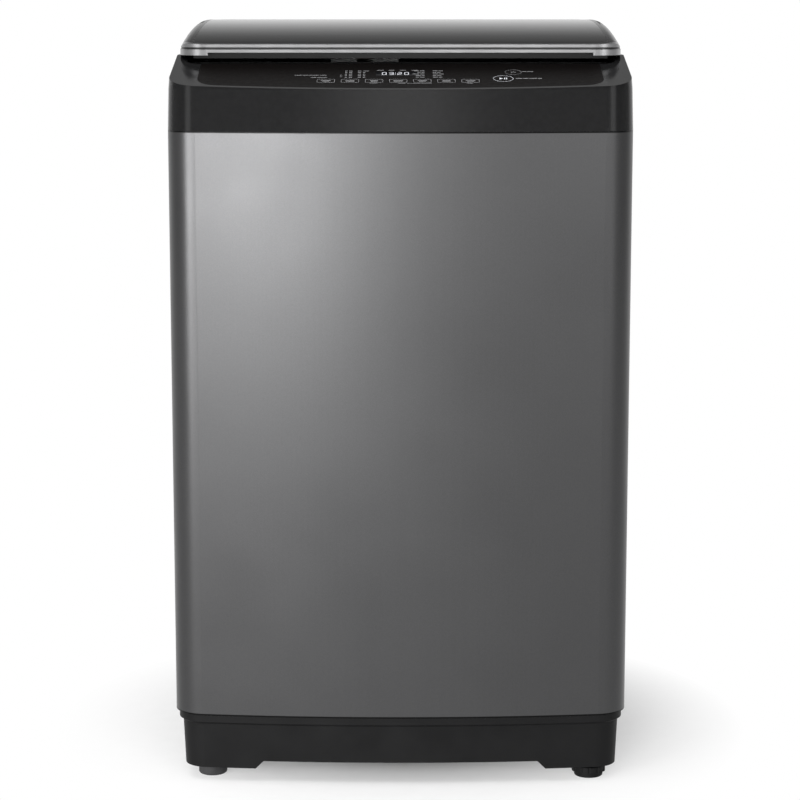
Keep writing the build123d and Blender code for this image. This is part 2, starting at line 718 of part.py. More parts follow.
def key_forms():
    """Name, place and outline of every key."""
    forms = []
    first = KEY_ROW_X - KEY_PITCH * (KEY_COUNT - 1) / 2
    for number in range(KEY_COUNT):
        spot = deck_spot(first + number * KEY_PITCH, KEY_ROW_SETBACK)
        forms.append((f"key_{number + 1}", spot, RectangleRounded(KEY_WIDTH, KEY_LENGTH, KEY_CORNER)))
    forms.append(("power_key", deck_spot(POWER_X, POWER_SETBACK), Circle(POWER_RADIUS)))
    forms.append(("start_key", deck_spot(START_X, START_SETBACK), Circle(START_RADIUS)))
    return forms


def key_holes():
    """Holes that guide the keys through the overlay and the deck."""
    holes = Part()
    for _, spot, outline in key_forms():
        holes += spot * Pos(0, 0, -2 * DECK_ROOF) * extrude(offset(outline, KEY_GAP), 3 * DECK_ROOF)
    return holes


LIP_TOP = DECK_ROOF + SLIP
STEM_TOP = LIP_TOP + KEY_LIP_THICK
SWITCH_TOP = STEM_TOP + KEY_STEM_LENGTH + KEY_TRAVEL + SLIP
BOARD_TOP = SWITCH_TOP + SWITCH_HEIGHT


def key(spot, outline):
    """Key cap with a lip that keeps it under the deck and a stem for its switch."""
    cap = Pos(0, 0, -STEM_TOP) * extrude(outline, STEM_TOP)
    lip = Pos(0, 0, -STEM_TOP) * extrude(offset(outline, KEY_LIP), KEY_LIP_THICK)
    stem_end = STEM_TOP + KEY_STEM_LENGTH
    stem = Pos(0, 0, -stem_end) * extrude(Circle(KEY_STEM_RADIUS), KEY_STEM_LENGTH)
    return spot * (cap + lip + stem)


def post_spots():
    """Places of the four posts that carry the control board."""
    half_width = BOARD_WIDTH / 2 - 2 * POST_RADIUS
    half_length = BOARD_LENGTH / 2 - 2 * POST_RADIUS
    middle = deck_spot(0, BOARD_SETBACK)
    return [middle * Pos(sx * half_width, sy * half_length, 0) for sx in (-1, 1) for sy in (-1, 1)]


def control_board():
    """Circuit board with the display module and one switch under each key."""
    board = Pos(0, 0, -BOARD_TOP - BOARD_THICK) * extrude(Rectangle(BOARD_WIDTH, BOARD_LENGTH), BOARD_THICK)
    board = deck_spot(0, BOARD_SETBACK) * board
    for _, spot, _ in key_forms():
        board += spot * Pos(0, 0, -BOARD_TOP) * extrude(Rectangle(SWITCH_SIZE, SWITCH_SIZE), SWITCH_HEIGHT)
    module_width = DISPLAY_WIDTH - 2 * DISPLAY_RIM - 2 * SLIP
    module_length = DISPLAY_LENGTH - 2 * DISPLAY_RIM - 2 * SLIP
    module_height = BOARD_TOP - OVERLAY_THICK - SLIP
    module = extrude(RectangleRounded(module_width, module_length, KEY_CORNER), module_height)
    return board + deck_spot(DISPLAY_X, DISPLAY_SETBACK) * Pos(0, 0, -BOARD_TOP) * module


def display_form(grow, top, bottom):
    """Space of the display window between two depths below the deck's surface."""
    outline = RectangleRounded(DISPLAY_WIDTH + 2 * grow, DISPLAY_LENGTH + 2 * grow, KEY_CORNER)
    return deck_spot(DISPLAY_X, DISPLAY_SETBACK) * Pos(0, 0, -bottom) * extrude(outline, bottom - top)


def display_window():
    """Smoked lens over the digits, flush with the overlay."""
    return display_form(0, 0, OVERLAY_THICK)


def display_hole(grow):
    """Hole under or around the display window."""
    return display_form(grow, -DECK_ROOF, 2 * DECK_ROOF)


def control_overlay():
    """Glossy plate over the deck, with holes for the keys and the display."""
    plate = overlay_seat(OVERLAY_GAP, 0, OVERLAY_THICK)
    return plate - key_holes() - display_hole(OVERLAY_GAP)


def strike_slot():
    """Slot in the pocket floor for the lid's strike."""
    front = LOCK_Y - STRIKE_WIDTH / 2 - STRIKE_GAP * 2.5
    rear = LOCK_Y + STRIKE_WIDTH / 2 + STRIKE_GAP / 2
    half = STRIKE_THICK / 2 + STRIKE_GAP * 0.7
    return block((LOCK_X - half, LOCK_X + half), (front, rear), (POCKET_FLOOR - 2 * CASING_WALL, RAIL_TOP))


def drawer_space(grow, front, rear):
    """Space of the detergent drawer, grown all round."""
    half = DRAWER_WIDTH / 2 + grow
    top = POCKET_FLOOR - CASING_WALL - DRAWER_WALL - DRAWER_GAP
    return block(
        (DRAWER_X - half, DRAWER_X + half),
        (front, rear),
        (top - DRAWER_HEIGHT - grow, top + grow),
    )


def top_cover():
    """Moulded cover: fascia, control deck, finger recess, lid pocket and opening."""
    outer = cover_form(0, 0)
    shell = outer - cover_form(CASING_WALL, DECK_ROOF)
    bottom = POCKET_FLOOR - CASING_WALL
    lower = POCKET_FLOOR - COLLAR_DEPTH
    inside = cover_form(CASING_WALL / 2, CASING_WALL / 2)
    shell += (pocket(CASING_WALL, bottom) + scoop(CASING_WALL)) & inside
    shell += collar(CASING_WALL, lower) & disc(CABINET_WIDTH, lower, POCKET_FLOOR)
    shell -= pocket(0, POCKET_FLOOR)
    shell -= scoop(0)
    shell -= collar(0, lower - CASING_WALL)
    tongue_inset = SHEET + EDGE_FLANGE + FIT
    shell += hoop(FIT, tongue_inset + CASING_WALL, CABINET_TOP, CABINET_TOP + CASING_WALL)
    shell += hoop(tongue_inset, tongue_inset + CASING_WALL, CABINET_TOP - TONGUE, CABINET_TOP + CASING_WALL)
    for spot in post_spots():
        shell += spot * Pos(0, 0, -BOARD_TOP) * extrude(Circle(POST_RADIUS), BOARD_TOP - OVERLAY_THICK)
    shell -= overlay_seat(0, -DECK_ROOF, OVERLAY_THICK)
    shell -= key_holes()
    shell -= display_hole(-DISPLAY_RIM)
    shell -= strike_slot()
    shell -= drawer_space(DRAWER_GAP, OPENING_BACK - CASING_WALL, OPENING_BACK + 2 * CASING_WALL)
    spigot_end = (INLET_X, REAR_Y + SPIGOT_REACH, INLET_Z)
    return shell - barrel(INLET_RADIUS + SHOULDER + SLIP, spigot_end, 3 * SPIGOT_REACH, (0, -1, 0))


# ------------------------------------------------------------ lid
def arch(drop, half=HALF_WIDTH):
    """Everything under the lid's arch, lowered by drop."""
    radius = LID_ARCH_RADIUS - drop
    profile = Pos(LID_CROWN_Y, LID_CROWN_Z - LID_ARCH_RADIUS) * Circle(radius)
    return extrude(Plane.YZ * profile, half, both=True)


def arch_height(y):
    """Height of the lid's surface at a depth."""
    fall = LID_ARCH_RADIUS - sqrt(LID_ARCH_RADIUS**2 - (y - LID_CROWN_Y) ** 2)
    return LID_CROWN_Z - fall


HINGE_Z = arch_height(HINGE_Y) - LID_NOSE


def lid_plan(inset, front, rear, corner, rear_corner):
    """Rounded outline of the lid or of a piece of it."""
    half = LID_HALF - inset
    face = make_face(Polyline((-half, front), (half, front), (half, rear), (-half, rear), close=True))
    face = fillet(face.vertices().sort_by(Axis.Y)[:2], corner)
    return fillet(face.vertices().sort_by(Axis.Y)[-2:], rear_corner)


def lid_form(inset, drop):
    """Arched lid body with softened shoulders, set in and lowered."""
    outline = lid_plan(inset, LID_FRONT + inset, LID_REAR - inset, LID_CORNER - inset, LID_WALL)
    column = Pos(0, 0, LID_BOTTOM) * extrude(outline, 2 * LID_RISE)
    return column & arch(drop)


def lid_heel():
    """Material taken off the lid's rear edge so that it turns about the hinge."""
    heel_y = LID_REAR - LID_HEEL
    heel_z = LID_BOTTOM + LID_HEEL
    keep = Pos(heel_y, heel_z) * Circle(LID_HEEL)
    low = Pos(LID_REAR - LID_HEEL / 2, LID_BOTTOM + LID_HEEL / 2) * Rectangle(LID_HEEL, LID_HEEL)
    nose = Pos(HINGE_Y, HINGE_Z) * Circle(LID_NOSE)
    high = Pos(LID_REAR - LID_NOSE / 2, HINGE_Z + LID_NOSE) * Rectangle(LID_NOSE, 2 * LID_NOSE)
    return extrude(Plane.YZ * ((low - keep) + (high - nose)), HALF_WIDTH, both=True)


def window(inset, thick, drop):
    """Arched plate for the lid's window, set in from the glass."""
    outline = lid_plan(
        GLASS_MARGIN + inset,
        LID_FRONT + GLASS_FRONT + inset,
        LID_REAR - GLASS_REAR - inset,
        GLASS_CORNER,
        GLASS_CORNER,
    )
    column = extrude(outline, 2 * LID_CROWN_Z)
    return column & (arch(drop) - arch(drop + thick))


def finger_mouth():
    """Space under the trim where fingers go in."""
    half = LID_HALF - FINGER_MARGIN
    top = arch_height(LID_FRONT) - TRIM_HEIGHT
    return block((-half, half), (LID_FRONT - 1, LID_FRONT + TRIM_REACH), (LID_BOTTOM - 1, top))


def hinge_notches(grow, wall):
    """Spaces in the lid's rear edge for the hinge ears, grown by a wall."""
    notches = Part()
    half = HINGE_EAR / 2 + HINGE_SIDE_GAP + wall
    radius = LID_NOSE + grow
    for side in (-1, 1):
        start = (side * HINGE_X - half, HINGE_Y, HINGE_Z)
        notches += barrel(radius, start, 2 * half, (1, 0, 0))
        notches += block(
            (side * HINGE_X - half, side * HINGE_X + half),
            (HINGE_Y, LID_REAR + LID_NOSE),
            (LID_BOTTOM - 1, HINGE_Z + radius),
        )
    return notches


def hinge_bores(radius):
    """Cylinders on the hinge axis at both hinges."""
    bores = Part()
    for side in (-1, 1):
        start = (side * HINGE_X - HINGE_PIN_LENGTH / 2, HINGE_Y, HINGE_Z)
        bores += barrel(radius, start, HINGE_PIN_LENGTH, (1, 0, 0))
    return bores


def shouldered(front, rear, round_rear):
    """Arched block between two depths, rounded along its sides and, if asked, its rear."""
    slab = block((-LID_HALF, LID_HALF), (front, rear), (RAIL_TOP, LID_CROWN_Z + LID_RISE)) & arch(0)
    edges = slab.edges().filter_by(GeomType.CIRCLE)
    if round_rear:
        edges += slab.edges().filter_by(Axis.X).group_by(Axis.Y)[-1].sort_by(Axis.Z)[-1:]
    return fillet(edges, LID_SHOULDER)


def lid_outside():
    """Whole lid with its trim and glass, as one solid."""
    return (lid_form(0, 0) & shouldered(LID_FRONT, LID_REAR, False)) - lid_heel() - finger_mouth()


def trim_zone():
    """Outer layer of the lid's front that the trim takes up."""
    outline = lid_plan(TRIM_THICK, LID_FRONT + TRIM_THICK, LID_REAR, LID_CORNER - TRIM_THICK, LID_WALL)
    inner = extrude(outline, 2 * LID_CROWN_Z)
    return block((-HALF_WIDTH, HALF_WIDTH), (FRONT_Y, LID_FRONT + TRIM_REACH), (0, 2 * LID_CROWN_Z)) - inner


def trim_groove():
    """Groove that parts the trim's two ribs."""
    middle = arch_height(LID_FRONT) - TRIM_HEIGHT / 2
    outline = lid_plan(TRIM_GROOVE, LID_FRONT + TRIM_GROOVE, LID_REAR, LID_CORNER - TRIM_GROOVE, LID_WALL)
    around = lid_plan(-TRIM_GROOVE, LID_FRONT - TRIM_GROOVE, LID_REAR, LID_CORNER + TRIM_GROOVE, LID_WALL)
    return Pos(0, 0, middle - TRIM_GROOVE_HEIGHT / 2) * extrude(around - outline, TRIM_GROOVE_HEIGHT)


def lid_trim(outside):
    """Silver two-rib trim round the lid's front."""
    return (outside & trim_zone()) - trim_groove()


def lid_frame(outside):
    """Moulded lid frame: arch, sides, window ledge, inner front wall and strike."""
    skin = GLASS_THICK + LEDGE_THICK
    cave = lid_form(LID_WALL, skin) + Pos(0, 0, -LID_WALL) * lid_form(LID_WALL, skin)
    hinge_blocks = Part()
    for side in (-1, 1):
        half = HINGE_PIN_LENGTH / 2
        hinge_blocks += block(
            (side * HINGE_X - half, side * HINGE_X + half),
            (HINGE_Y - LID_HEEL, LID_REAR),
            (LID_BOTTOM, LID_CROWN_Z),
        )
    inner_front = LID_FRONT + LID_CAVE_FRONT
    bulkhead = block(
        (LID_WALL - LID_HALF, LID_HALF - LID_WALL),
        (inner_front, inner_front + LID_WALL),
        (LID_BOTTOM, LID_CROWN_Z),
    )
    frame = outside - (cave - hinge_blocks - bulkhead)
    skirt_half = POCKET_HALF - 2 * STRIKE_GAP
    frame += block(
        (-skirt_half, skirt_half),
        (inner_front, inner_front + LID_WALL),
        (LID_BOTTOM - LID_SKIRT_DROP, LID_BOTTOM + LID_WALL),
    )
    frame -= window(-GLASS_GAP, GLASS_THICK + LID_WALL, -LID_WALL)
    frame -= extrude(
        lid_plan(
            GLASS_MARGIN + LEDGE,
            inner_front + 2 * LID_WALL,
            LID_REAR - GLASS_REAR - LEDGE,
            GLASS_CORNER,
            GLASS_CORNER,
        ),
        2 * LID_CROWN_Z,
    )
    frame -= hinge_notches(HINGE_SIDE_GAP, 0)
    frame -= hinge_bores(HINGE_PIN_RADIUS)
    frame -= trim_zone()
    return frame + strike()


def strike():
    """Tab under the lid that the lock's bolt enters."""
    top = arch_height(LOCK_Y) - GLASS_THICK - LEDGE_THICK / 2
    low = bolt_height() - 2 * BOLT_RADIUS + SHEET
    half = STRIKE_WIDTH / 2
    side = STRIKE_THICK / 2
    tab = block((LOCK_X - side, LOCK_X + side), (LOCK_Y - half, LOCK_Y + half), (low, top))
    eye = (LOCK_X - LOCK_BODY, LOCK_Y, bolt_height())
    return tab - barrel(BOLT_RADIUS + SHEET, eye, 2 * LOCK_BODY, (1, 0, 0))


def lid_glass():
    """Tinted curved glass on the lid's ledge."""
    return window(0, GLASS_THICK, 0)


def hinge_pins():
    """Two steel pins fixed in the lid and turning in the rear deck's ears."""
    return hinge_bores(HINGE_PIN_RADIUS)


def ear_outline():
    """Side view of a hinge ear, low enough behind the pin for the open lid."""
    radius = LID_NOSE - SHEET
    length = REAR_DECK_FRONT + CASING_WALL / 2 - HINGE_Y
    shank = Rectangle(length, 2 * radius - EAR_SHANK_DROP)
    shank = Pos(HINGE_Y + length / 2, HINGE_Z - EAR_SHANK_DROP / 2) * shank
    return Pos(HINGE_Y, HINGE_Z) * Circle(radius) + shank


def rear_deck():
    """Hollow housing behind the lid that carries the lid's hinges and the cord gland."""
    outline = lid_plan(0, REAR_DECK_FRONT, REAR_Y - LIP_INSET, LID_WALL, REAR_CORNER)
    body = Pos(0, 0, RAIL_TOP) * extrude(outline, 2 * LID_RISE)
    body &= shouldered(REAR_DECK_FRONT, REAR_Y - LIP_INSET, True)
    inner_rear = REAR_Y - LIP_INSET - CASING_WALL
    inner = lid_plan(CASING_WALL, REAR_DECK_FRONT + CASING_WALL, inner_rear, CASING_WALL, REAR_CORNER)
    body -= (Pos(0, 0, RAIL_TOP - 1) * extrude(inner, 2 * LID_RISE)) & arch(2 * CASING_WALL)
    for side in (-1, 1):
        body += Pos(side * HINGE_X - HINGE_EAR / 2, 0, 0) * extrude(Plane.YZ * ear_outline(), HINGE_EAR)
    body -= hinge_bores(HINGE_PIN_RADIUS + HINGE_CLEARANCE)
    gland_z = (RAIL_TOP + arch_height(REAR_Y)) / 2
    gland_y = REAR_Y - LIP_INSET
    body += barrel(GLAND_BOSS, (GLAND_X, gland_y - CASING_WALL, gland_z), GLAND_LENGTH, (0, 1, 0))
    body -= barrel(GLAND_RADIUS, (GLAND_X, gland_y - 2 * GLAND_LENGTH, gland_z), 4 * GLAND_LENGTH, (0, 1, 0))
    return body


# ------------------------------------------------------------ lid lock
def bolt_height():
    """Height of the lock bolt's axis."""
    return POCKET_FLOOR - CASING_WALL - LOCK_HEIGHT * 0.4


def lid_lock_housing():
    """Lock body under the pocket floor, with a bore for the bolt."""
    face = LOCK_X - STRIKE_THICK / 2 - STRIKE_GAP
    top = POCKET_FLOOR - CASING_WALL
    body = block(
        (face - LOCK_BODY, face),
        (LOCK_Y - LOCK_WIDTH / 2, LOCK_Y + LOCK_WIDTH / 2),
        (top - LOCK_HEIGHT, top),
    )
    body = fillet(body.edges().filter_by(Axis.Z), CASING_WALL)
    depth = BOLT_LENGTH + SLIP
    return body - barrel(BOLT_RADIUS + FIT, (face, LOCK_Y, bolt_height()), depth, (-1, 0, 0))


def lock_bolt():
    """Round bolt that slides into the lid's strike."""
    face = LOCK_X - STRIKE_THICK / 2 - STRIKE_GAP
    bolt = barrel(BOLT_RADIUS, (face - BOLT_LENGTH, LOCK_Y, bolt_height()), BOLT_LENGTH, (1, 0, 0))
    return chamfer(bolt.edges().group_by(Axis.X)[-1], SHEET)


# ------------------------------------------------------------ water in
def detergent_housing():
    """Box behind the opening that holds the detergent drawer."""
    front = OPENING_BACK + CASING_WALL
    rear = OPENING_BACK + DRAWER_DEPTH + 2 * DRAWER_GAP
    body = drawer_space(DRAWER_GAP + DRAWER_WALL, front, rear + DRAWER_WALL)
    return body - drawer_space(DRAWER_GAP, front - 1, rear)


def detergent_drawer():
    """Open tray with a thick front and a finger pull."""
    rear = OPENING_BACK + DRAWER_DEPTH
    tray = drawer_space(0, OPENING_BACK, rear)
    hollow = drawer_space(-DRAWER_WALL, OPENING_BACK + CASING_WALL, rear - DRAWER_WALL)
    tray -= hollow + Pos(0, 0, 2 * DRAWER_WALL) * hollow
    pull_z = POCKET_FLOOR - CASING_WALL - DRAWER_WALL - DRAWER_GAP
    pull = barrel(DRAWER_HEIGHT / 4, (DRAWER_X, OPENING_BACK - 1, pull_z), CASING_WALL + 2, (0, 1, 0))
    return tray - pull


def inlet_valve():
    """Solenoid valve whose threaded spigot stands out at the rear."""
    wall_inner = REAR_Y - FASCIA_DRAFT - RAIL_LEAN - CASING_WALL - SLIP
    body = block(
        (INLET_X - INLET_BODY / 2, INLET_X + INLET_BODY / 2),
        (wall_inner - INLET_BODY, wall_inner - CASING_WALL),
        (INLET_Z - INLET_RADIUS, INLET_Z + INLET_RADIUS),
    )
    flange = (INLET_X, wall_inner - CASING_WALL, INLET_Z)
    body += barrel(INLET_RADIUS + CASING_WALL, flange, CASING_WALL, (0, 1, 0))
    body += barrel(INLET_RADIUS + SHOULDER, flange, REAR_Y - flange[1], (0, 1, 0))
    body += barrel(INLET_RADIUS, (INLET_X, REAR_Y, INLET_Z), SPIGOT_REACH, (0, 1, 0))
    spigot_end = (INLET_X, REAR_Y + SPIGOT_REACH, INLET_Z)
    return body - barrel(INLET_BORE, spigot_end, SPIGOT_REACH + CASING_WALL, (0, -1, 0))


def inlet_hose():
    """Pipe from the inlet valve to the detergent housing."""
    wall_inner = REAR_Y - FASCIA_DRAFT - RAIL_LEAN - CASING_WALL - SLIP
    start = DRAWER_X + DRAWER_WIDTH / 2 + DRAWER_GAP + DRAWER_WALL
    end = INLET_X - INLET_BODY / 2
    y = min(wall_inner - INLET_BODY / 2, OPENING_BACK + DRAWER_DEPTH - INLET_PIPE_RADIUS)
    z = INLET_Z - INLET_PIPE_RADIUS / 2
    pipe = barrel(INLET_PIPE_RADIUS, (start, y, z), end - start, (1, 0, 0))
    return pipe - barrel(INLET_PIPE_RADIUS - DRAWER_WALL, (start - 1, y, z), end - start + 2, (1, 0, 0))


# ------------------------------------------------------------ tub
def outer_tub():
    """Moulded tub with a rim, a bearing boss and four suspension ears."""
    inner = TUB_RADIUS - TUB_WALL
    boss_top = TUB_BOTTOM + TUB_FLOOR + BOSS_HEIGHT
    hole = CASE_SPIGOT + SLIP
    body = turned(
        (hole, TUB_BOTTOM),
        (TUB_RADIUS, TUB_BOTTOM),
        (TUB_RADIUS, TUB_TOP - TUB_RIM),
        (TUB_RADIUS + TUB_RIM, TUB_TOP - TUB_RIM),
        (TUB_RADIUS + TUB_RIM, TUB_TOP),
        (inner, TUB_TOP),
        (inner, TUB_BOTTOM + TUB_FLOOR),
        (hole + BOSS_WALL, TUB_BOTTOM + TUB_FLOOR),
        (hole + BOSS_WALL, boss_top),
        (hole, boss_top),
    )
    for x, y in ROD_SPOTS:
        body += tub_ear(x, y)
    body -= disc(TUB_RADIUS - TUB_WALL, TUB_BOTTOM + TUB_FLOOR + BOSS_HEIGHT, TUB_TOP + 1, y=TUB_Y)
    body -= disc(VALVE_RADIUS - 2 * TUB_WALL, 0, TUB_BOTTOM + 2 * TUB_FLOOR, y=VALVE_Y)
    for x, y in ROD_SPOTS:
        body -= disc(ROD_HOLE, 0, TUB_TOP, x, y)
    return body


def tub_ear(x, y):
    """Bracket that reaches from the tub wall to a rod."""
    reach = sqrt(x**2 + (y - TUB_Y) ** 2)
    root = TUB_RADIUS - TUB_WALL / 2
    share = root / reach
    base = Pos(x * share, TUB_Y + (y - TUB_Y) * share) * Circle(EAR_RADIUS * 1.6)
    tip = Pos(x, y) * Circle(EAR_RADIUS)
    plate = Pos(0, 0, EAR_BOTTOM) * extrude(make_hull(base.edges() + tip.edges()), EAR_THICK)
    return plate - disc(TUB_RADIUS - TUB_WALL / 2, EAR_BOTTOM - 1, EAR_BOTTOM + EAR_THICK + 1, y=TUB_Y)


def tub_cover():
    """Splash ring over the gap between the tub and the basket."""
    edge = TUB_RADIUS + TUB_RIM
    top = TUB_TOP + TUB_COVER_RISE
    step = TUB_RADIUS - TUB_WALL - BASKET_GAP
    return turned(
        (edge, TUB_TOP),
        (edge, TUB_TOP + TUB_WALL),
        (step, top),
        (TUB_COVER_MOUTH + TUB_WALL, top),
        (TUB_COVER_MOUTH, top - TUB_WALL),
        (TUB_COVER_MOUTH, TUB_TOP + TUB_WALL),
        (TUB_COVER_MOUTH + TUB_WALL, TUB_TOP + TUB_WALL),
        (TUB_COVER_MOUTH + TUB_WALL, top - TUB_WALL),
        (step, top - TUB_WALL),
        (TUB_RADIUS - TUB_WALL, TUB_TOP),
    )


def damper_cups():
    """Cups under the tub's ears that sit on the springs."""
    cups = Part()
    for x, y in ROD_SPOTS:
        cup = disc(CUP_RADIUS, EAR_BOTTOM - CUP_HEIGHT, EAR_BOTTOM, x, y)
        cup -= disc(CUP_RADIUS - CUP_WALL, EAR_BOTTOM - CUP_HEIGHT - 1, EAR_BOTTOM - CUP_WALL, x, y)
        cups += cup - disc(ROD_RADIUS + SLIP, 0, TUB_TOP, x, y)
    return cups


def tub_seal():
    """Lip seal between the tub's boss and the spin shaft."""
    height = TUB_BOTTOM + TUB_FLOOR + BOSS_HEIGHT - SEAL_BOTTOM
    inner = SPIN_RADIUS + FIT
    outer = CASE_SPIGOT + SLIP - FIT
    return turned(
        (inner, SEAL_BOTTOM),
        (outer, SEAL_BOTTOM),
        (outer, SEAL_BOTTOM + height),
        (outer - BOSS_WALL, SEAL_BOTTOM + height),
        (inner + BOSS_WALL, SEAL_BOTTOM + height / 2),
        (inner, SEAL_BOTTOM + height / 2),
    )


def chassis_plate():
    """Pressed steel plate that ties the gearbox and the motor to the tub."""
    centre = Pos(0, TUB_Y) * Circle(CHASSIS_RADIUS)
    motor = Pos(0, TUB_Y - MOTOR_OFFSET) * Circle(MOTOR_RADIUS + CASING_WALL)
    plate = Pos(0, 0, CHASSIS_BOTTOM) * extrude(make_hull(centre.edges() + motor.edges()), CHASSIS_THICK)
    return plate - disc(CASE_SPIGOT + SLIP, 0, TUB_BOTTOM, y=TUB_Y)


def gearbox_case():
    """Reduction gearbox housing with the bearing bores."""
    spigot_top = SEAL_BOTTOM
    bearing_top = CHASSIS_BOTTOM + SHEET
    bearing_low = bearing_top - BEARING_THICK
    gear_top = CASE_BOTTOM + CASE_HEIGHT / 3
    return turned(
        (WASH_RADIUS + SHAFT_CLEARANCE, CASE_BOTTOM),
        (CASE_RADIUS * 0.5, CASE_BOTTOM),
        (CASE_RADIUS * 0.6, CASE_BOTTOM + BEARING_THICK / 2),
        (CASE_RADIUS * 0.85, CASE_BOTTOM + BEARING_THICK / 2),
        (CASE_RADIUS * 0.85, CHASSIS_BOTTOM - BEARING_THICK),
        (CASE_RADIUS, CHASSIS_BOTTOM - BEARING_THICK / 2),
        (CASE_RADIUS, CHASSIS_BOTTOM),
        (CASE_SPIGOT, CHASSIS_BOTTOM),
        (CASE_SPIGOT, spigot_top),
        (BEARING_RADIUS + FIT, spigot_top),
        (BEARING_RADIUS + FIT, bearing_low),
        (SPIN_RADIUS + SLIP, bearing_low),
        (SPIN_RADIUS + SLIP, gear_top),
        (WASH_RADIUS + SHAFT_CLEARANCE, gear_top),
    )


def shaft_bearings():
    """Ball bearing that carries the spin shaft in the gearbox."""
    bearing_top = CHASSIS_BOTTOM + SHEET
    bearing_low = bearing_top - BEARING_THICK
    inner = SPIN_RADIUS + FIT / 2
    shield = SHEET / 2
    return turned(
        (inner, bearing_low),
        (BEARING_RADIUS, bearing_low),
        (BEARING_RADIUS, bearing_top),
        (BEARING_RADIUS - CASING_WALL, bearing_top),
        (BEARING_RADIUS - CASING_WALL, bearing_top - shield),
        (inner + CASING_WALL, bearing_top - shield),
        (inner + CASING_WALL, bearing_top),
        (inner, bearing_top),
    )


# ------------------------------------------------------------ drive
def groove(radius, middle):
    """Profile points of a belt groove at a belt radius, from its lower to its upper edge."""
    root = radius - BELT_THICK / 2 - BELT_GAP
    rim = radius + PULLEY_RIM
    bed = BELT_WIDTH / 2 + BELT_GAP
    edge = PULLEY_WIDTH / 2
    half = [(rim, edge), (rim, edge - SHEET), (root, bed)]
    return [(r, middle - z) for r, z in half] + [(r, middle + z) for r, z in reversed(half)]


def pulley_profile(radius, hub, shaft, bottom):
    """Pulley with a belt groove, web and hub, from (radius, height) points."""
    middle = bottom + PULLEY_WIDTH / 2
    outer = groove(radius, middle)
    web = CASING_WALL
    inner_rim = radius - BELT_THICK - 2 * CASING_WALL
    if inner_rim <= hub + CASING_WALL:
        return [(shaft, bottom)] + outer + [(shaft, bottom + PULLEY_WIDTH)]
    lower = [
        (shaft, bottom),
        (hub, bottom),
        (hub, middle - web),
        (inner_rim, middle - web),
        (inner_rim, bottom),
    ]
    upper = [
        (inner_rim, bottom + PULLEY_WIDTH),
        (inner_rim, middle + web),
        (hub, middle + web),
        (hub, bottom + PULLEY_WIDTH),
        (shaft, bottom + PULLEY_WIDTH),
    ]
    return lower + outer + upper


def drive_pulley():
    """Large pulley with the gearbox's input shaft."""
    body = turned(*pulley_profile(PULLEY_RADIUS, 2 * WASH_RADIUS, 0, PULLEY_BOTTOM))
    hole_radius = PULLEY_RADIUS * 0.13
    for spot in PolarLocations(PULLEY_RADIUS * 0.55, ARM_COUNT):
        body -= Pos(0, TUB_Y, PULLEY_BOTTOM) * spot * Cylinder(hole_radius, 4 * PULLEY_WIDTH)
    shaft_top = CASE_BOTTOM + CASE_HEIGHT / 3 - 2 * SLIP
    body += disc(WASH_RADIUS, PULLEY_BOTTOM - CASING_WALL, shaft_top, y=TUB_Y)
    return body + disc(2 * WASH_RADIUS, PULLEY_TOP, CASE_BOTTOM - SHEET, y=TUB_Y)


def motor_pulley():
    """Motor's small pulley with the rotor shaft."""
    profile = pulley_profile(MOTOR_PULLEY_RADIUS, 2 * WASH_RADIUS, 0, PULLEY_BOTTOM)
    body = Pos(0, -MOTOR_OFFSET, 0) * turned(*profile)
    shaft_top = CHASSIS_BOTTOM - MOTOR_PLATE
    return body + disc(STUD_RADIUS, PULLEY_BOTTOM - CASING_WALL, shaft_top, y=TUB_Y - MOTOR_OFFSET)


def motor_case():
    """Motor with two end bells, hung from the chassis plate."""
    top = CHASSIS_BOTTOM - MOTOR_PLATE
    low = top - MOTOR_HEIGHT + MOTOR_PLATE
    bell = MOTOR_HEIGHT * 0.16
    bore = STUD_RADIUS + FIT
    body = turned(
        (bore, low),
        (MOTOR_RADIUS * 0.6, low),
        (MOTOR_RADIUS * 0.85, low + bell),
        (MOTOR_RADIUS, low + bell),
        (MOTOR_RADIUS, top - bell),
        (MOTOR_RADIUS * 0.85, top - bell),
        (MOTOR_RADIUS * 0.85, top),
        (bore, top),
    )
    body = Pos(0, -MOTOR_OFFSET, 0) * body
    plate = SlotOverall(2 * MOTOR_RADIUS, MOTOR_RADIUS)
    body += Pos(0, TUB_Y - MOTOR_OFFSET, top) * extrude(plate, MOTOR_PLATE)
    return body


def drive_belt():
    """Belt round the motor pulley and the drive pulley."""
    inner = belt_loop(-BELT_THICK / 2)
    outer = belt_loop(BELT_THICK / 2)
    middle = PULLEY_BOTTOM + PULLEY_WIDTH / 2
    return Pos(0, 0, middle - BELT_WIDTH / 2) * extrude(outer - inner, BELT_WIDTH)


def belt_loop(grow):
    """Outline round both pulleys at the belt radius."""
    large = Pos(0, TUB_Y) * Circle(PULLEY_RADIUS + grow)
    small = Pos(0, TUB_Y - MOTOR_OFFSET) * Circle(MOTOR_PULLEY_RADIUS + grow)
    return make_hull(large.edges() + small.edges())


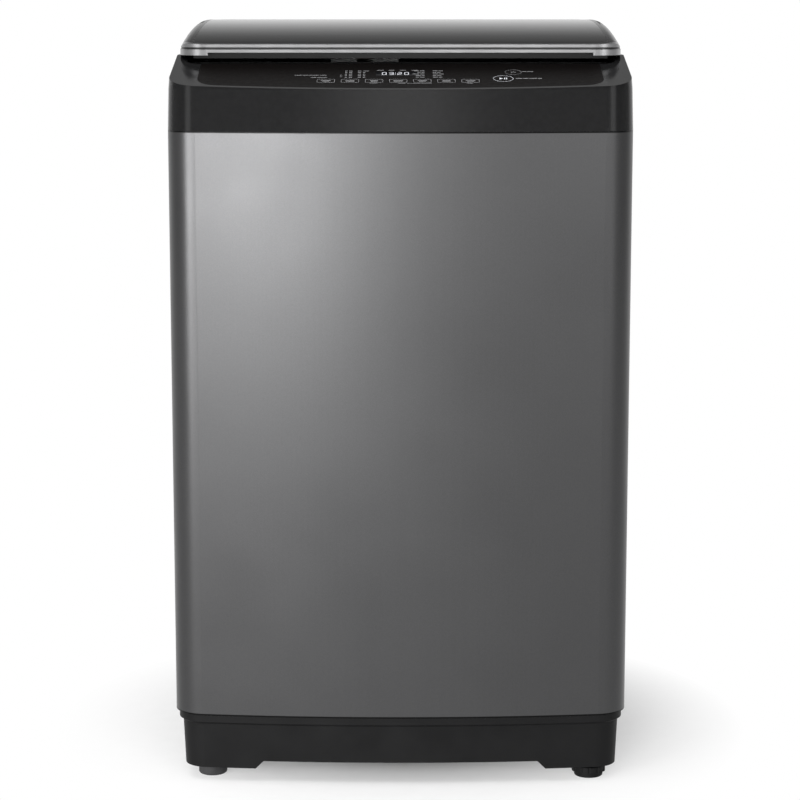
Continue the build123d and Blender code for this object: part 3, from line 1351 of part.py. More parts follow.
# ------------------------------------------------------------ drain
def drain_valve_body():
    """Drain chamber under the tub with a neck, an outlet and a plunger bore."""
    half = VALVE_LENGTH / 2
    chamber = barrel(VALVE_RADIUS, (-half, VALVE_Y, VALVE_Z), VALVE_LENGTH, (1, 0, 0))
    chamber += disc(VALVE_RADIUS - TUB_WALL, VALVE_Z, TUB_BOTTOM, y=VALVE_Y)
    outlet_x = -half + DRAIN_HOSE_RADIUS + TUB_WALL
    outlet_length = VALVE_RADIUS + 2 * TUB_WALL
    chamber += barrel(DRAIN_HOSE_RADIUS, (outlet_x, VALVE_Y, VALVE_Z), outlet_length, (0, 1, 0))
    inside = (TUB_WALL - half, VALVE_Y, VALVE_Z)
    chamber -= barrel(VALVE_RADIUS - TUB_WALL, inside, VALVE_LENGTH - 2 * TUB_WALL, (1, 0, 0))
    chamber -= disc(VALVE_RADIUS - 2 * TUB_WALL, VALVE_Z, TUB_BOTTOM + 1, y=VALVE_Y)
    outlet = (outlet_x, VALVE_Y, VALVE_Z)
    chamber -= barrel(DRAIN_HOSE_RADIUS - TUB_WALL, outlet, outlet_length + 1, (0, 1, 0))
    return chamber - barrel(PLUNGER_RADIUS + FIT, (0, VALVE_Y, VALVE_Z), VALVE_LENGTH, (1, 0, 0))


def valve_plunger():
    """Drain plunger on a rod that the actuator pulls."""
    stroke_space = VALVE_LENGTH / 2 - TUB_WALL - VALVE_TRAVEL - 2 * TUB_WALL - SLIP
    start = (stroke_space, VALVE_Y, VALVE_Z)
    head = barrel(VALVE_RADIUS - TUB_WALL - 2 * SLIP, start, 2 * TUB_WALL, (1, 0, 0))
    end = VALVE_LENGTH / 2 + ACTUATOR_GAP + 2 * TUB_WALL
    return head + barrel(PLUNGER_RADIUS, start, end - stroke_space, (1, 0, 0))


def drain_actuator():
    """Actuator under the tub that pulls the drain plunger."""
    start = VALVE_LENGTH / 2 + ACTUATOR_GAP
    body = block(
        (start, start + ACTUATOR_LENGTH),
        (VALVE_Y - ACTUATOR_WIDTH / 2, VALVE_Y + ACTUATOR_WIDTH / 2),
        (VALVE_Z - VALVE_RADIUS, TUB_BOTTOM),
    )
    body = fillet(body.edges().filter_by(Axis.X), TUB_WALL)
    bore = 2 * TUB_WALL + VALVE_TRAVEL + SLIP
    return body - barrel(PLUNGER_RADIUS + SLIP, (start, VALVE_Y, VALVE_Z), bore, (1, 0, 0))


def drain_outlet():
    """Flanged spigot at the rear for the drain hose."""
    seat = REAR_Y - 2 * SHEET
    back = (DRAIN_X, seat - CASING_WALL, DRAIN_Z)
    body = barrel(DRAIN_FLANGE, back, CASING_WALL, (0, 1, 0))
    body += barrel(DRAIN_RADIUS + SHOULDER, back, REAR_Y - back[1], (0, 1, 0))
    body += barrel(DRAIN_RADIUS, (DRAIN_X, REAR_Y, DRAIN_Z), SPIGOT_REACH, (0, 1, 0))
    return body - barrel(DRAIN_BORE, back, 4 * SPIGOT_REACH, (0, 1, 0))


def drain_hose():
    """Hose from the drain valve to the rear outlet."""
    start_x = -VALVE_LENGTH / 2 + DRAIN_HOSE_RADIUS + TUB_WALL
    start_y = VALVE_Y + VALVE_RADIUS + 2 * TUB_WALL
    end_y = REAR_Y - 2 * SHEET - CASING_WALL
    turn_y = (start_y + end_y) / 2
    path = FilletPolyline(
        (start_x, start_y, VALVE_Z),
        (start_x, turn_y, VALVE_Z),
        (DRAIN_X, turn_y, DRAIN_Z),
        (DRAIN_X, end_y, DRAIN_Z),
        radius=DRAIN_HOSE_BEND,
    )
    section = Plane(path @ 0, z_dir=path % 0) * Circle(DRAIN_HOSE_RADIUS)
    return sweep(section, path)


# ------------------------------------------------------------ basket
def basket_wall():
    """Steel drum of the spin basket."""
    wall = Circle(BASKET_RADIUS) - Circle(BASKET_RADIUS - BASKET_SHEET)
    height = RING_BOTTOM - BASKET_BOTTOM
    return Pos(0, TUB_Y, BASKET_BOTTOM) * extrude(wall, height)


def basket_bottom():
    """Dished floor with a raised rim round the pulsator."""
    rim = BASKET_RADIUS - BASKET_SHEET - FIT
    floor = BASKET_BOTTOM
    dish = PULSATOR_RADIUS + PULSATOR_GAP
    dish_top = floor + FLOOR_THICK + PULSATOR_GAP + PULSATOR_RIM
    bore = SPIN_RADIUS + FIT
    return turned(
        (bore, floor),
        (dish + FLOOR_THICK, floor),
        (dish + FLOOR_THICK, dish_top - FLOOR_THICK),
        (rim - FLOOR_THICK, floor + FLOOR_RIM_HEIGHT - 2 * FLOOR_THICK),
        (rim - FLOOR_THICK, floor),
        (rim, floor),
        (rim, floor + FLOOR_RIM_HEIGHT),
        (rim - FLOOR_THICK, floor + FLOOR_RIM_HEIGHT),
        (dish, dish_top),
        (dish, floor + FLOOR_THICK),
        (bore, floor + FLOOR_THICK),
    )


def balance_ring():
    """Hollow balance ring on top of the basket, with a lip over its wall."""
    inner = BASKET_RADIUS + RING_LIP - RING_WIDTH
    outer = BASKET_RADIUS + RING_LIP
    body = turned(
        (inner + FLOOR_THICK, RING_BOTTOM),
        (BASKET_RADIUS + FIT, RING_BOTTOM),
        (BASKET_RADIUS + FIT, RING_BOTTOM - 2 * RING_LIP),
        (outer, RING_BOTTOM - 2 * RING_LIP),
        (outer, RING_TOP),
        (inner, RING_TOP),
        (inner, RING_BOTTOM + FLOOR_THICK),
    )
    top_edges = body.edges().group_by(Axis.Z)[-1]
    return fillet(top_edges, RING_LIP * 1.3)


def lint_filters():
    """Two filter frames on the basket wall."""
    outer = BASKET_RADIUS - BASKET_SHEET - FIT
    low = BASKET_BOTTOM + FILTER_RISE
    ring = Circle(outer) - Circle(outer - FILTER_THICK)
    ring = Pos(0, TUB_Y, low) * extrude(ring, FILTER_HEIGHT)
    opening = FILTER_WIDTH / 2 - 2 * FLOOR_THICK
    frames = ring & (
        block(
            (-CABINET_WIDTH, CABINET_WIDTH),
            (TUB_Y - FILTER_WIDTH / 2, TUB_Y + FILTER_WIDTH / 2),
            (low, low + FILTER_HEIGHT),
        )
    )
    for side in (-1, 1):
        near = outer - FILTER_THICK - 1
        far = outer - FLOOR_THICK
        limits = sorted((side * near, side * far))
        frames -= block(
            limits,
            (TUB_Y - opening, TUB_Y + opening),
            (low + FLOOR_THICK * 3, low + FILTER_HEIGHT - FLOOR_THICK * 3),
        )
    return frames


def basket_hub():
    """Cast spider that joins the basket's floor to the spin shaft."""
    top = BASKET_BOTTOM
    body = disc(HUB_RADIUS, top - HUB_HEIGHT, top)
    arm_length = PULSATOR_RADIUS
    for angle in range(0, 360, 360 // ARM_COUNT):
        tip = Pos(arm_length, 0) * Circle(ARM_RADIUS)
        root = Circle(HUB_RADIUS * 0.8)
        arm = extrude(make_hull(root.edges() + tip.edges()), ARM_THICK)
        body += Rot(0, 0, angle) * Pos(0, 0, top - ARM_THICK) * arm
    body -= disc(SPIN_RADIUS + FIT / 2, 0, CABINET_TOP)
    return Pos(0, TUB_Y, 0) * body


def spin_shaft():
    """Hollow shaft that turns the basket."""
    low = CASE_BOTTOM + CASE_HEIGHT / 3 + SLIP
    top = BASKET_BOTTOM + FLOOR_THICK
    body = disc(SPIN_RADIUS, low, top, y=TUB_Y)
    return body - disc(WASH_RADIUS + SHAFT_CLEARANCE, 0, CABINET_TOP, y=TUB_Y)


def wash_shaft():
    """Inner shaft from the gearbox to the pulsator."""
    low = CASE_BOTTOM + CASE_HEIGHT / 3 + SLIP
    return disc(WASH_RADIUS, low, PULSATOR_TOP - PULSATOR_WALL, y=TUB_Y)


def pulsator_surface(drop):
    """Domed profile of the pulsator, lowered by drop."""
    rim = PULSATOR_BOTTOM + PULSATOR_RIM - drop
    top = PULSATOR_TOP - drop
    radius = PULSATOR_RADIUS - drop
    shoulder = (PULSATOR_NECK, rim + PULSATOR_DOME * NECK_SHARE)
    curve = Spline((0, top), shoulder, (radius, rim), tangents=[(1, 0), (1, 0)])
    edges = curve + Polyline((radius, rim), (radius, PULSATOR_BOTTOM), (0, PULSATOR_BOTTOM), (0, top))
    return revolve(Plane.XZ * make_face(edges), Axis.Z)


def vane_envelope():
    """Dome that the tops of the vanes lie on."""
    rim = PULSATOR_RADIUS - VANE_SETBACK
    high = (VANE_CREST, PULSATOR_BOTTOM + VANE_HEIGHT)
    dome = Spline((0, PULSATOR_TOP), high, (rim, PULSATOR_BOTTOM))
    floor = Polyline((rim, PULSATOR_BOTTOM), (0, PULSATOR_BOTTOM), (0, PULSATOR_TOP))
    return revolve(Plane.XZ * make_face(dome + floor), Axis.Z)


def pulsator():
    """Domed agitator with curved vanes that rise towards the rim."""
    body = pulsator_surface(0)
    envelope = vane_envelope()
    reach = PULSATOR_RADIUS - VANE_SETBACK
    line = ThreePointArc((CAP_RADIUS + VANE_THICK, 0), (reach / 2, VANE_BOW), (reach, 0))
    vane = extrude(SlotArc(line, VANE_THICK), PULSATOR_TOP + VANE_HEIGHT)
    for angle in range(0, 360, 360 // VANE_COUNT):
        body += (Rot(0, 0, angle) * vane) & envelope
    hollow = pulsator_surface(PULSATOR_WALL) & disc(PULSATOR_RADIUS - PULSATOR_WALL, 0, CABINET_TOP)
    hub = disc(2 * WASH_RADIUS, PULSATOR_BOTTOM, PULSATOR_TOP - PULSATOR_WALL / 2)
    body -= hollow - hub
    body -= disc(WASH_RADIUS + FIT / 2, 0, PULSATOR_TOP - PULSATOR_WALL)
    return Pos(0, TUB_Y, 0) * body


def pulsator_screw():
    """Domed screw cap in the middle of the pulsator."""
    cap = disc(CAP_RADIUS, PULSATOR_TOP, PULSATOR_TOP + CASING_WALL * 2, y=TUB_Y)
    return fillet(cap.edges().group_by(Axis.Z)[-1], CASING_WALL)


# ------------------------------------------------------------ assembly
def all_parts():
    """Every piece of the machine by its node name."""
    outside = lid_outside()
    parts = {
        "base_frame": base_frame(),
        "fixed_feet": fixed_feet(),
        "levelling_foot": levelling_foot(),
        "cabinet_wrap": cabinet_wrap(),
        "rear_panel": rear_panel(),
        "service_cover": service_cover(),
        "rear_screws": screws(PANEL_SCREWS, REAR_Y) + screws(COVER_SCREWS, REAR_Y),
        "corner_brackets": corner_brackets(),
        "suspension_rods": suspension_rods(),
        "suspension_springs": suspension_springs(),
        "top_cover": top_cover(),
        "control_overlay": control_overlay(),
        "display_window": display_window(),
        "control_board": control_board(),
        "rear_deck": rear_deck(),
        "lid_frame": lid_frame(outside),
        "lid_trim": lid_trim(outside),
        "lid_glass": lid_glass(),
        "hinge_pins": hinge_pins(),
        "lid_lock_housing": lid_lock_housing(),
        "lock_bolt": lock_bolt(),
        "detergent_housing": detergent_housing(),
        "detergent_drawer": detergent_drawer(),
        "inlet_valve": inlet_valve(),
        "inlet_hose": inlet_hose(),
        "outer_tub": outer_tub(),
        "tub_cover": tub_cover(),
        "damper_cups": damper_cups(),
        "tub_seal": tub_seal(),
        "chassis_plate": chassis_plate(),
        "gearbox_case": gearbox_case(),
        "shaft_bearings": shaft_bearings(),
        "drive_pulley": drive_pulley(),
        "motor_pulley": motor_pulley(),
        "motor_case": motor_case(),
        "drive_belt": drive_belt(),
        "drain_valve_body": drain_valve_body(),
        "valve_plunger": valve_plunger(),
        "drain_actuator": drain_actuator(),
        "drain_outlet": drain_outlet(),
        "drain_hose": drain_hose(),
        "basket_wall": basket_wall(),
        "basket_bottom": basket_bottom(),
        "balance_ring": balance_ring(),
        "lint_filters": lint_filters(),
        "basket_hub": basket_hub(),
        "spin_shaft": spin_shaft(),
        "wash_shaft": wash_shaft(),
        "pulsator": pulsator(),
        "pulsator_screw": pulsator_screw(),
    }
    for name, spot, outline in key_forms():
        parts[name] = key(spot, outline)
    return parts


os.makedirs("parts", exist_ok=True)
for name, part in all_parts().items():
    export_step(part, f"parts/{name}.step")
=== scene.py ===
"""Looks of the top load washing machine: finishes, printed control panel, drum, springs and hose.

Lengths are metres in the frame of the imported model: X to the right, Y to the rear, Z up.
"""

import json
from math import atan2, cos, pi, radians, sin, tan

import bmesh
import bpy
from mathutils import Matrix, Vector

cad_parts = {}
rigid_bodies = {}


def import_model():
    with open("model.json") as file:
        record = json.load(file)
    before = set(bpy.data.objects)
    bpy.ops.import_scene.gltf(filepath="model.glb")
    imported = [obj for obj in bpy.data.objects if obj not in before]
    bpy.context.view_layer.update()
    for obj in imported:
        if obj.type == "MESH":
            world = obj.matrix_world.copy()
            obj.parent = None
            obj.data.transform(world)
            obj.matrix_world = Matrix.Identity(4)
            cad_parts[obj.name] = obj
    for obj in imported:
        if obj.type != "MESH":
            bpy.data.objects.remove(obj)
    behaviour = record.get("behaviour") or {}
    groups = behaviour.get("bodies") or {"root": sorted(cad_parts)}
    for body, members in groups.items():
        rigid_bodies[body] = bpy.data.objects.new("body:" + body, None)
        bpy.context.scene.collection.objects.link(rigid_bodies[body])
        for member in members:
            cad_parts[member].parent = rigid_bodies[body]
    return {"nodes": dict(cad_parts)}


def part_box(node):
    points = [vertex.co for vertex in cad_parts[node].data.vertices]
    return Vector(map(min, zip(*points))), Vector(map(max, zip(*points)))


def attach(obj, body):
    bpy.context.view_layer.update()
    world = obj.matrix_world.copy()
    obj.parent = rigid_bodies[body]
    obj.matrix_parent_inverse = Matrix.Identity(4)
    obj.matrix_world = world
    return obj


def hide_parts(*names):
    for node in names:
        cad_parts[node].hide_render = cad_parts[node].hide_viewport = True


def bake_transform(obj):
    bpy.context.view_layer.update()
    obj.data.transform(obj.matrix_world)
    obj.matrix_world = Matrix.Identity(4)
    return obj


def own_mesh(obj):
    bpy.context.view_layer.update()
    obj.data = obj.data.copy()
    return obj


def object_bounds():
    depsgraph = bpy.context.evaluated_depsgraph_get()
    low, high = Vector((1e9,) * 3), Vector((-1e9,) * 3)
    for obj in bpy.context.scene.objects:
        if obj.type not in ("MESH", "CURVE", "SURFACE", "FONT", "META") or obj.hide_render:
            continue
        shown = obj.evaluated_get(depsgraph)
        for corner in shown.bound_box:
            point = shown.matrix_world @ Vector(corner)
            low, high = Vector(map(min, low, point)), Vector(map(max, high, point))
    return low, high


for startup in list(bpy.data.objects):
    bpy.data.objects.remove(startup)

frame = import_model()
CAD_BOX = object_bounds()

MM = 0.001
MICRON = 0.000001

FRONT_Y = CAD_BOX[0].y
CABINET_FOOT, CABINET_TOP = (corner.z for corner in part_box("cabinet_wrap"))
LID_ARCH_RADIUS = 2.4       # of the lid's arch from front to rear
LID_CROWN_SETBACK = 0.44    # top of that arch behind the front


def lid_surface(y):
    """Height of the lid's arch at a depth."""
    fall = (y - FRONT_Y - LID_CROWN_SETBACK) ** 2 / (2 * LID_ARCH_RADIUS)
    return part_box("lid_glass")[1].z - fall


# ---------------------------------------------------------------- node trees

MIX_COLOURS = (6, 7)        # sockets of a Mix node that take its two colours
MIX_RESULT = 2              # and the one that gives the mixed colour


class Tree:
    """Node tree with short ways to add, link and combine nodes."""

    def __init__(self, tree):
        self.nodes = tree.nodes
        self.links = tree.links

    def add(self, kind, inputs=(), **settings):
        """New node with its settings, and its inputs linked or set."""
        node = self.nodes.new("ShaderNode" + kind)
        for key, value in settings.items():
            setattr(node, key, value)
        for key, value in dict(inputs).items():
            self.feed(node.inputs[key], value)
        return node

    def feed(self, socket, value):
        """Link an output to the socket, or set its value."""
        if isinstance(value, bpy.types.NodeSocket):
            self.links.new(value, socket)
        else:
            socket.default_value = value

    def math(self, operation, first, *others):
        """Result of an operation on one value, or on several from left to right."""
        for other in others or (None,):
            node = self.add("Math", {0: first}, operation=operation)
            if other is not None:
                self.feed(node.inputs[1], other)
            first = node.outputs[0]
        return first

    def ramp(self, value, low, high, start=0.3, end=0.7, **settings):
        """Value mapped from start..end to low..high."""
        inputs = {"Value": value, "From Min": start, "From Max": end, "To Min": low, "To Max": high}
        return self.add("MapRange", inputs, **settings).outputs["Result"]

    def eased(self, value, edge, low, high):
        """Value mapped smoothly from one end of an edge to the other."""
        return self.ramp(value, low, high, *edge, interpolation_type="SMOOTHSTEP")

    def seen_directly(self):
        """1 for rays from the camera and for those that mirrors and glass send on, else 0."""
        path = self.add("LightPath")
        kinds = ("Is Camera Ray", "Is Glossy Ray", "Is Transmission Ray")
        return self.math("MAXIMUM", *(path.outputs[kind] for kind in kinds))


class Graph(Tree):
    """Node tree of one material, built from its Principled shader outwards."""

    def __init__(self, name):
        self.material = bpy.data.materials.new(name)
        self.material.use_nodes = True
        super().__init__(self.material.node_tree)
        self.shader = self.nodes["Principled BSDF"]
        self.place = self.add("TexCoord").outputs["Object"]

    def height(self):
        """Height above the floor."""
        return self.add("SeparateXYZ", {"Vector": self.place}).outputs["Z"]

    def stretched(self, scale, turn=(0, 0, 0)):
        """Object coordinates scaled by axis, for grain that runs one way."""
        mapping = self.add("Mapping", {"Vector": self.place, "Scale": scale, "Rotation": turn})
        return mapping.outputs["Vector"]

    def noise(self, scale, detail=3.0, vector=None, roughness=0.5):
        """Noise value at a scale in features per metre."""
        inputs = {
            "Vector": vector or self.place,
            "Scale": scale,
            "Detail": detail,
            "Roughness": roughness,
        }
        return self.add("TexNoise", inputs).outputs["Fac"]

    def cells(self, scale, output="Distance", **settings):
        """Voronoi cells at a scale in features per metre."""
        node = self.add("TexVoronoi", {"Vector": self.place, "Scale": scale}, **settings)
        return node.outputs[output]

    def blend(self, value, low, high):
        """Colour between two colours, each an output or a triple."""
        node = self.add("Mix", {0: value}, data_type="RGBA")
        for socket, colour in zip(MIX_COLOURS, (low, high)):
            self.feed(node.inputs[socket], (*colour, 1) if isinstance(colour, tuple) else colour)
        return node.outputs[MIX_RESULT]

    def relief(self, *layers, edge=0.0):
        """Surface normal from rounded edges and layers of (height value, depth in metres)."""
        normal = None
        if edge:
            normal = self.add("Bevel", {"Radius": edge}, samples=4).outputs["Normal"]
        for height, depth in layers:
            bump = self.add("Bump", {"Height": height, "Distance": depth, "Strength": 1.0})
            if normal:
                self.links.new(normal, bump.inputs["Normal"])
            normal = bump.outputs["Normal"]
        self.links.new(normal, self.shader.inputs["Normal"])

    def finish(self, colour, roughness, metallic=0.0, **fixed):
        """Set the shader's colour and roughness, and its constants by socket name."""
        self.feed(self.shader.inputs["Base Color"], colour)
        self.feed(self.shader.inputs["Roughness"], roughness)
        self.feed(self.shader.inputs["Metallic"], metallic)
        for key, value in fixed.items():
            self.shader.inputs[key.replace("_", " ")].default_value = value
        return self.material


# ---------------------------------------------------------------- finishes

PAINT_LOW = (0.048, 0.048, 0.049)
PAINT_HIGH = (0.069, 0.069, 0.070)
SEAM_SHADOW = 2.2 * MM            # painted shadow line where the cabinet meets its cover and its base, standing for the shade in those seams
SEAM_SHADOW_CORE = 0.6 * SEAM_SHADOW    # part of the painted shadow that is fully dark
SEAM_SHADOW_BLACK = (0.004, 0.004, 0.004)
TRIM_HEIGHT = 10 * MM
GROOVE_SHADE = 2.6 * MM           # width of the painted shade in the groove between the trim's two ribs
GROOVE_SHADE_CORE = 0.7 * GROOVE_SHADE  # part of that painted shade that is fully dark
GROOVE_SHADE_GREY = (0.05, 0.05, 0.05)
HAZIEST = 1.35              # share of a gloss moulding's roughness where it is hazy
MATT_SPREAD = 0.08          # share by which a matt moulding's roughness strays
STEEL_SPREAD = (0.8, 1.3)   # shares of a steel's roughness in and between its grain


def metallic_paint():
    """Titanium grey baked enamel with fine flake, with painted shadow lines at its top and foot for the
    shade in the seams to its cover and base.
    """
    g = Graph("titanium_paint")
    flake = g.cells(2600, "Color")
    cloud = g.noise(9, 2)
    peel = g.noise(420, 2)
    tone = g.blend(g.ramp(flake, 0, 1, 0, 1), PAINT_LOW, PAINT_HIGH)
    height = g.height()
    # painted shadow: dark bands just below the cover seam and just above the base seam, where shade falls
    top = g.ramp(height, 0, 1, CABINET_TOP - SEAM_SHADOW, CABINET_TOP - SEAM_SHADOW_CORE)
    foot = g.ramp(height, 1, 0, CABINET_FOOT + SEAM_SHADOW_CORE, CABINET_FOOT + SEAM_SHADOW)
    tone = g.blend(g.math("MAXIMUM", top, foot), tone, SEAM_SHADOW_BLACK)
    g.relief((peel, 12 * MICRON), edge=0.8 * MM)
    return g.finish(tone, g.ramp(cloud, 0.32, 0.36), 0.85, Specular_IOR_Level=0.3)


def gloss_moulding(name, low, high, roughness, coat=0.0, edge=0.8 * MM, specular=0.16):
    """Glossy moulded plastic: slight waviness, hairline handling marks."""
    g = Graph(name)
    wave = g.noise(28, 2)
    haze = g.noise(140, 4, roughness=0.65)
    hair = g.noise(60, 2, g.stretched((1, 30, 6), (0.2, 0.3, 0.9)))
    tone = g.blend(g.ramp(haze, 0, 1), low, high)
    marks = g.ramp(hair, 0, 0.05, 0.55, 0.75)
    rough = g.math("ADD", g.ramp(haze, roughness, roughness * HAZIEST), marks)
    g.relief((wave, 30 * MICRON), edge=edge)
    return g.finish(tone, rough, Coat_Weight=coat, Coat_Roughness=0.04, Specular_IOR_Level=specular)


def matt_moulding(name, low, high, roughness=0.5, grain=1400, specular=0.4):
    """Moulded plastic with a fine spark-eroded grain."""
    g = Graph(name)
    fine = g.noise(grain, 2)
    broad = g.noise(24, 3)
    tone = g.blend(g.ramp(broad, 0, 1), low, high)
    g.relief((fine, 20 * MICRON), edge=0.6 * MM)
    rough = g.ramp(broad, roughness * (1 - MATT_SPREAD), roughness * (1 + MATT_SPREAD))
    return g.finish(tone, rough, Specular_IOR_Level=specular)


def plated_trim():
    """Satin silver plating with a grain that runs along the trim, and painted shade in the groove between
    its ribs.
    """
    g = Graph("satin_silver")
    grain = g.noise(1600, 2, g.stretched((0.04, 1, 1)))
    cloud = g.noise(30, 2)
    tone = g.blend(g.ramp(cloud, 0, 1), (0.34, 0.34, 0.345), (0.39, 0.39, 0.395))
    # painted shade: a grey band at the trim's middle height, where its groove falls in shadow
    middle = lid_surface(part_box("lid_trim")[0].y) - TRIM_HEIGHT / 2
    away = g.math("ABSOLUTE", g.math("SUBTRACT", g.height(), middle))
    tone = g.blend(g.ramp(away, 1, 0, GROOVE_SHADE_CORE / 2, GROOVE_SHADE / 2), tone, GROOVE_SHADE_GREY)
    g.relief((grain, 0.8 * MICRON), edge=0.5 * MM)
    return g.finish(tone, g.ramp(grain, 0.30, 0.40), 1.0)


def brushed_steel(name, low, high, along, roughness=0.28):
    """Rolled steel with a grain; along is the scale of the grain by axis."""
    g = Graph(name)
    grain = g.noise(500, 3, g.stretched(along))
    cloud = g.noise(12, 3)
    tone = g.blend(g.ramp(cloud, 0, 1), low, high)
    g.relief((grain, 8 * MICRON), edge=0.4 * MM)
    return g.finish(tone, g.ramp(grain, *(roughness * share for share in STEEL_SPREAD)), 1.0)


def zinc_plate():
    """Hot-dip galvanised sheet with spangle."""
    g = Graph("galvanised_sheet")
    spangle = g.cells(240, "Color")
    dull = g.noise(14, 4)
    tone = g.blend(g.ramp(spangle, 0, 1, 0, 1), (0.30, 0.31, 0.32), (0.38, 0.39, 0.40))
    g.relief((g.cells(240), 6 * MICRON), edge=0.4 * MM)
    return g.finish(tone, g.ramp(dull, 0.34, 0.48), 0.9)


def die_casting():
    """Aluminium die casting with a flowed skin."""
    g = Graph("die_cast_aluminium")
    skin = g.noise(220, 5)
    flow = g.noise(20, 3, g.stretched((1, 1, 3)))
    tone = g.blend(g.ramp(flow, 0, 1), (0.40, 0.40, 0.41), (0.52, 0.52, 0.53))
    g.relief((skin, 60 * MICRON), edge=0.8 * MM)
    return g.finish(tone, g.ramp(skin, 0.42, 0.58), 0.85)


def tinted_glass():
    """Grey toughened glass, dark in the body, with a faint roller wave."""
    g = Graph("grey_glass")
    wave = g.noise(7, 1, g.stretched((1, 4, 1)))
    smear = g.noise(30, 4, roughness=0.7)
    tone = g.blend(g.ramp(smear, 0, 1), (0.030, 0.031, 0.034), (0.036, 0.037, 0.040))
    g.relief((wave, 40 * MICRON))
    return g.finish(tone, g.ramp(smear, 0.015, 0.05), Transmission_Weight=0.9, IOR=1.52)


def soft_rubber():
    """Dark rubber with bloom and a fine tooth."""
    g = Graph("moulded_rubber")
    tooth = g.noise(1800, 2)
    bloom = g.noise(60, 4)
    tone = g.blend(g.ramp(bloom, 0, 1), (0.016, 0.016, 0.017), (0.035, 0.035, 0.036))
    g.relief((tooth, 30 * MICRON), edge=0.6 * MM)
    return g.finish(tone, g.ramp(bloom, 0.6, 0.78), Specular_IOR_Level=0.35)


def circuit_board():
    """Green solder mask over copper tracks."""
    g = Graph("solder_mask")
    tracks = g.cells(260, feature="DISTANCE_TO_EDGE", distance="CHEBYCHEV")
    copper = g.ramp(tracks, 0, 1, 0.04, 0.09)
    tone = g.blend(copper, (0.020, 0.10, 0.040), (0.008, 0.055, 0.022))
    g.relief((copper, 30 * MICRON), edge=0.2 * MM)
    return g.finish(tone, g.ramp(g.noise(300), 0.3, 0.4), Coat_Weight=0.3)


def panel_ink():
    """Pale grey screen-printed ink with an uneven edge to its coverage."""
    g = Graph("screen_ink")
    cover = g.noise(2200, 2)
    tone = g.blend(g.ramp(cover, 0, 1), (0.20, 0.20, 0.205), (0.30, 0.30, 0.31))
    g.relief((cover, 5 * MICRON))
    return g.finish(tone, g.ramp(cover, 0.4, 0.55))


def lit_segment():
    """White LED segment behind its diffuser, uneven in its glow."""
    g = Graph("led_segment")
    glow = g.noise(900, 2)
    tone = g.blend(g.ramp(glow, 0, 1), (0.42, 0.43, 0.46), (0.52, 0.53, 0.56))
    g.relief((glow, 4 * MICRON))
    g.feed(g.shader.inputs["Emission Color"], tone)
    return g.finish(tone, 0.35, Emission_Strength=0.6)


FINISHES = {
    "cabinet_paint": metallic_paint(),
    "black_gloss": gloss_moulding(
        "black_gloss", (0.012, 0.012, 0.0124), (0.016, 0.016, 0.0165), 0.12
    ),
    "black_moulding": matt_moulding(
        "black_moulding", (0.0045, 0.0045, 0.0047), (0.0065, 0.0065, 0.0067), specular=0.1
    ),
    "overlay_black": gloss_moulding(
        "overlay_black", (0.0050, 0.0042, 0.0040), (0.0066, 0.0056, 0.0054), 0.42,
        edge=0.3 * MM, specular=0.06,
    ),
    "silver_trim": plated_trim(),
    "tinted_glass": tinted_glass(),
    "rubber": soft_rubber(),
    "galvanised": zinc_plate(),
    "stainless": brushed_steel(
        "stainless_sheet", (0.52, 0.52, 0.53), (0.62, 0.62, 0.63), (0.04, 0.04, 1)
    ),
    "tub_plastic": matt_moulding(
        "tub_plastic", (0.50, 0.51, 0.52), (0.58, 0.59, 0.60), 0.45, grain=700
    ),
    "pulsator_plastic": matt_moulding(
        "pulsator_plastic", (0.36, 0.38, 0.41), (0.42, 0.44, 0.47), 0.32, grain=900
    ),
    "white_plastic": matt_moulding(
        "white_plastic", (0.62, 0.62, 0.61), (0.70, 0.70, 0.69), 0.42, grain=800
    ),
    "cast_metal": die_casting(),
    "motor_steel": brushed_steel(
        "motor_steel", (0.16, 0.16, 0.17), (0.24, 0.24, 0.25), (1, 1, 0.05), 0.4
    ),
    "shaft_steel": brushed_steel(
        "ground_steel", (0.55, 0.55, 0.56), (0.66, 0.66, 0.67), (0.05, 0.05, 1), 0.2
    ),
    "board": circuit_board(),
    "display_lens": gloss_moulding(
        "display_lens", (0.006, 0.006, 0.007), (0.009, 0.009, 0.010), 0.07, coat=0.3, edge=0.2 * MM
    ),
    "hose_grey": matt_moulding(
        "hose_grey", (0.20, 0.20, 0.21), (0.27, 0.27, 0.28), grain=1200
    ),
}
INK = panel_ink()
LED = lit_segment()

for node in frame["nodes"].values():
    slot = node.data.materials[0].name.split(".")[0]
    node.data.materials[0] = FINISHES[slot]


# ---------------------------------------------------------------- mesh helpers


def new_piece(name, mesh, finish, body, replaced=()):
    """Object for a finished mesh that rides on a body, if one is named, and may stand for CAD nodes."""
    mesh.materials.append(finish)
    piece = bpy.data.objects.new(name, mesh)
    bpy.context.scene.collection.objects.link(piece)
    if body:
        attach(piece, body)
    if replaced:
        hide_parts(*replaced)
    return piece


def mesh_from(name, points, faces, smooth=False):
    """Mesh from points and faces, with its normals turned outwards."""
    mesh = bpy.data.meshes.new(name)
    mesh.from_pydata([tuple(p) for p in points], [], faces)
    mesh.validate()
    shape = bmesh.new()
    shape.from_mesh(mesh)
    bmesh.ops.recalc_face_normals(shape, faces=shape.faces)
    shape.to_mesh(mesh)
    shape.free()
    if smooth:
        mesh.shade_smooth()
    return mesh


def rounded(x, setback, width, depth, corner, steps=5):
    """Outline of a rectangle with round corners."""
    points = []
    for cx, cs, start in ((1, 1, 0), (-1, 1, 90), (-1, -1, 180), (1, -1, 270)):
        for i in range(steps + 1):
            angle = radians(start + 90 * i / steps)
            px = x + cx * (width / 2 - corner) + corner * cos(angle)
            ps = setback + cs * (depth / 2 - corner) + corner * sin(angle)
            points.append((px, ps))
    return points


def circle(x, setback, radius, steps=40):
    """Outline of a circle."""
    angles = [2 * pi * i / steps for i in range(steps)]
    return [(x + radius * cos(a), setback + radius * sin(a)) for a in angles]


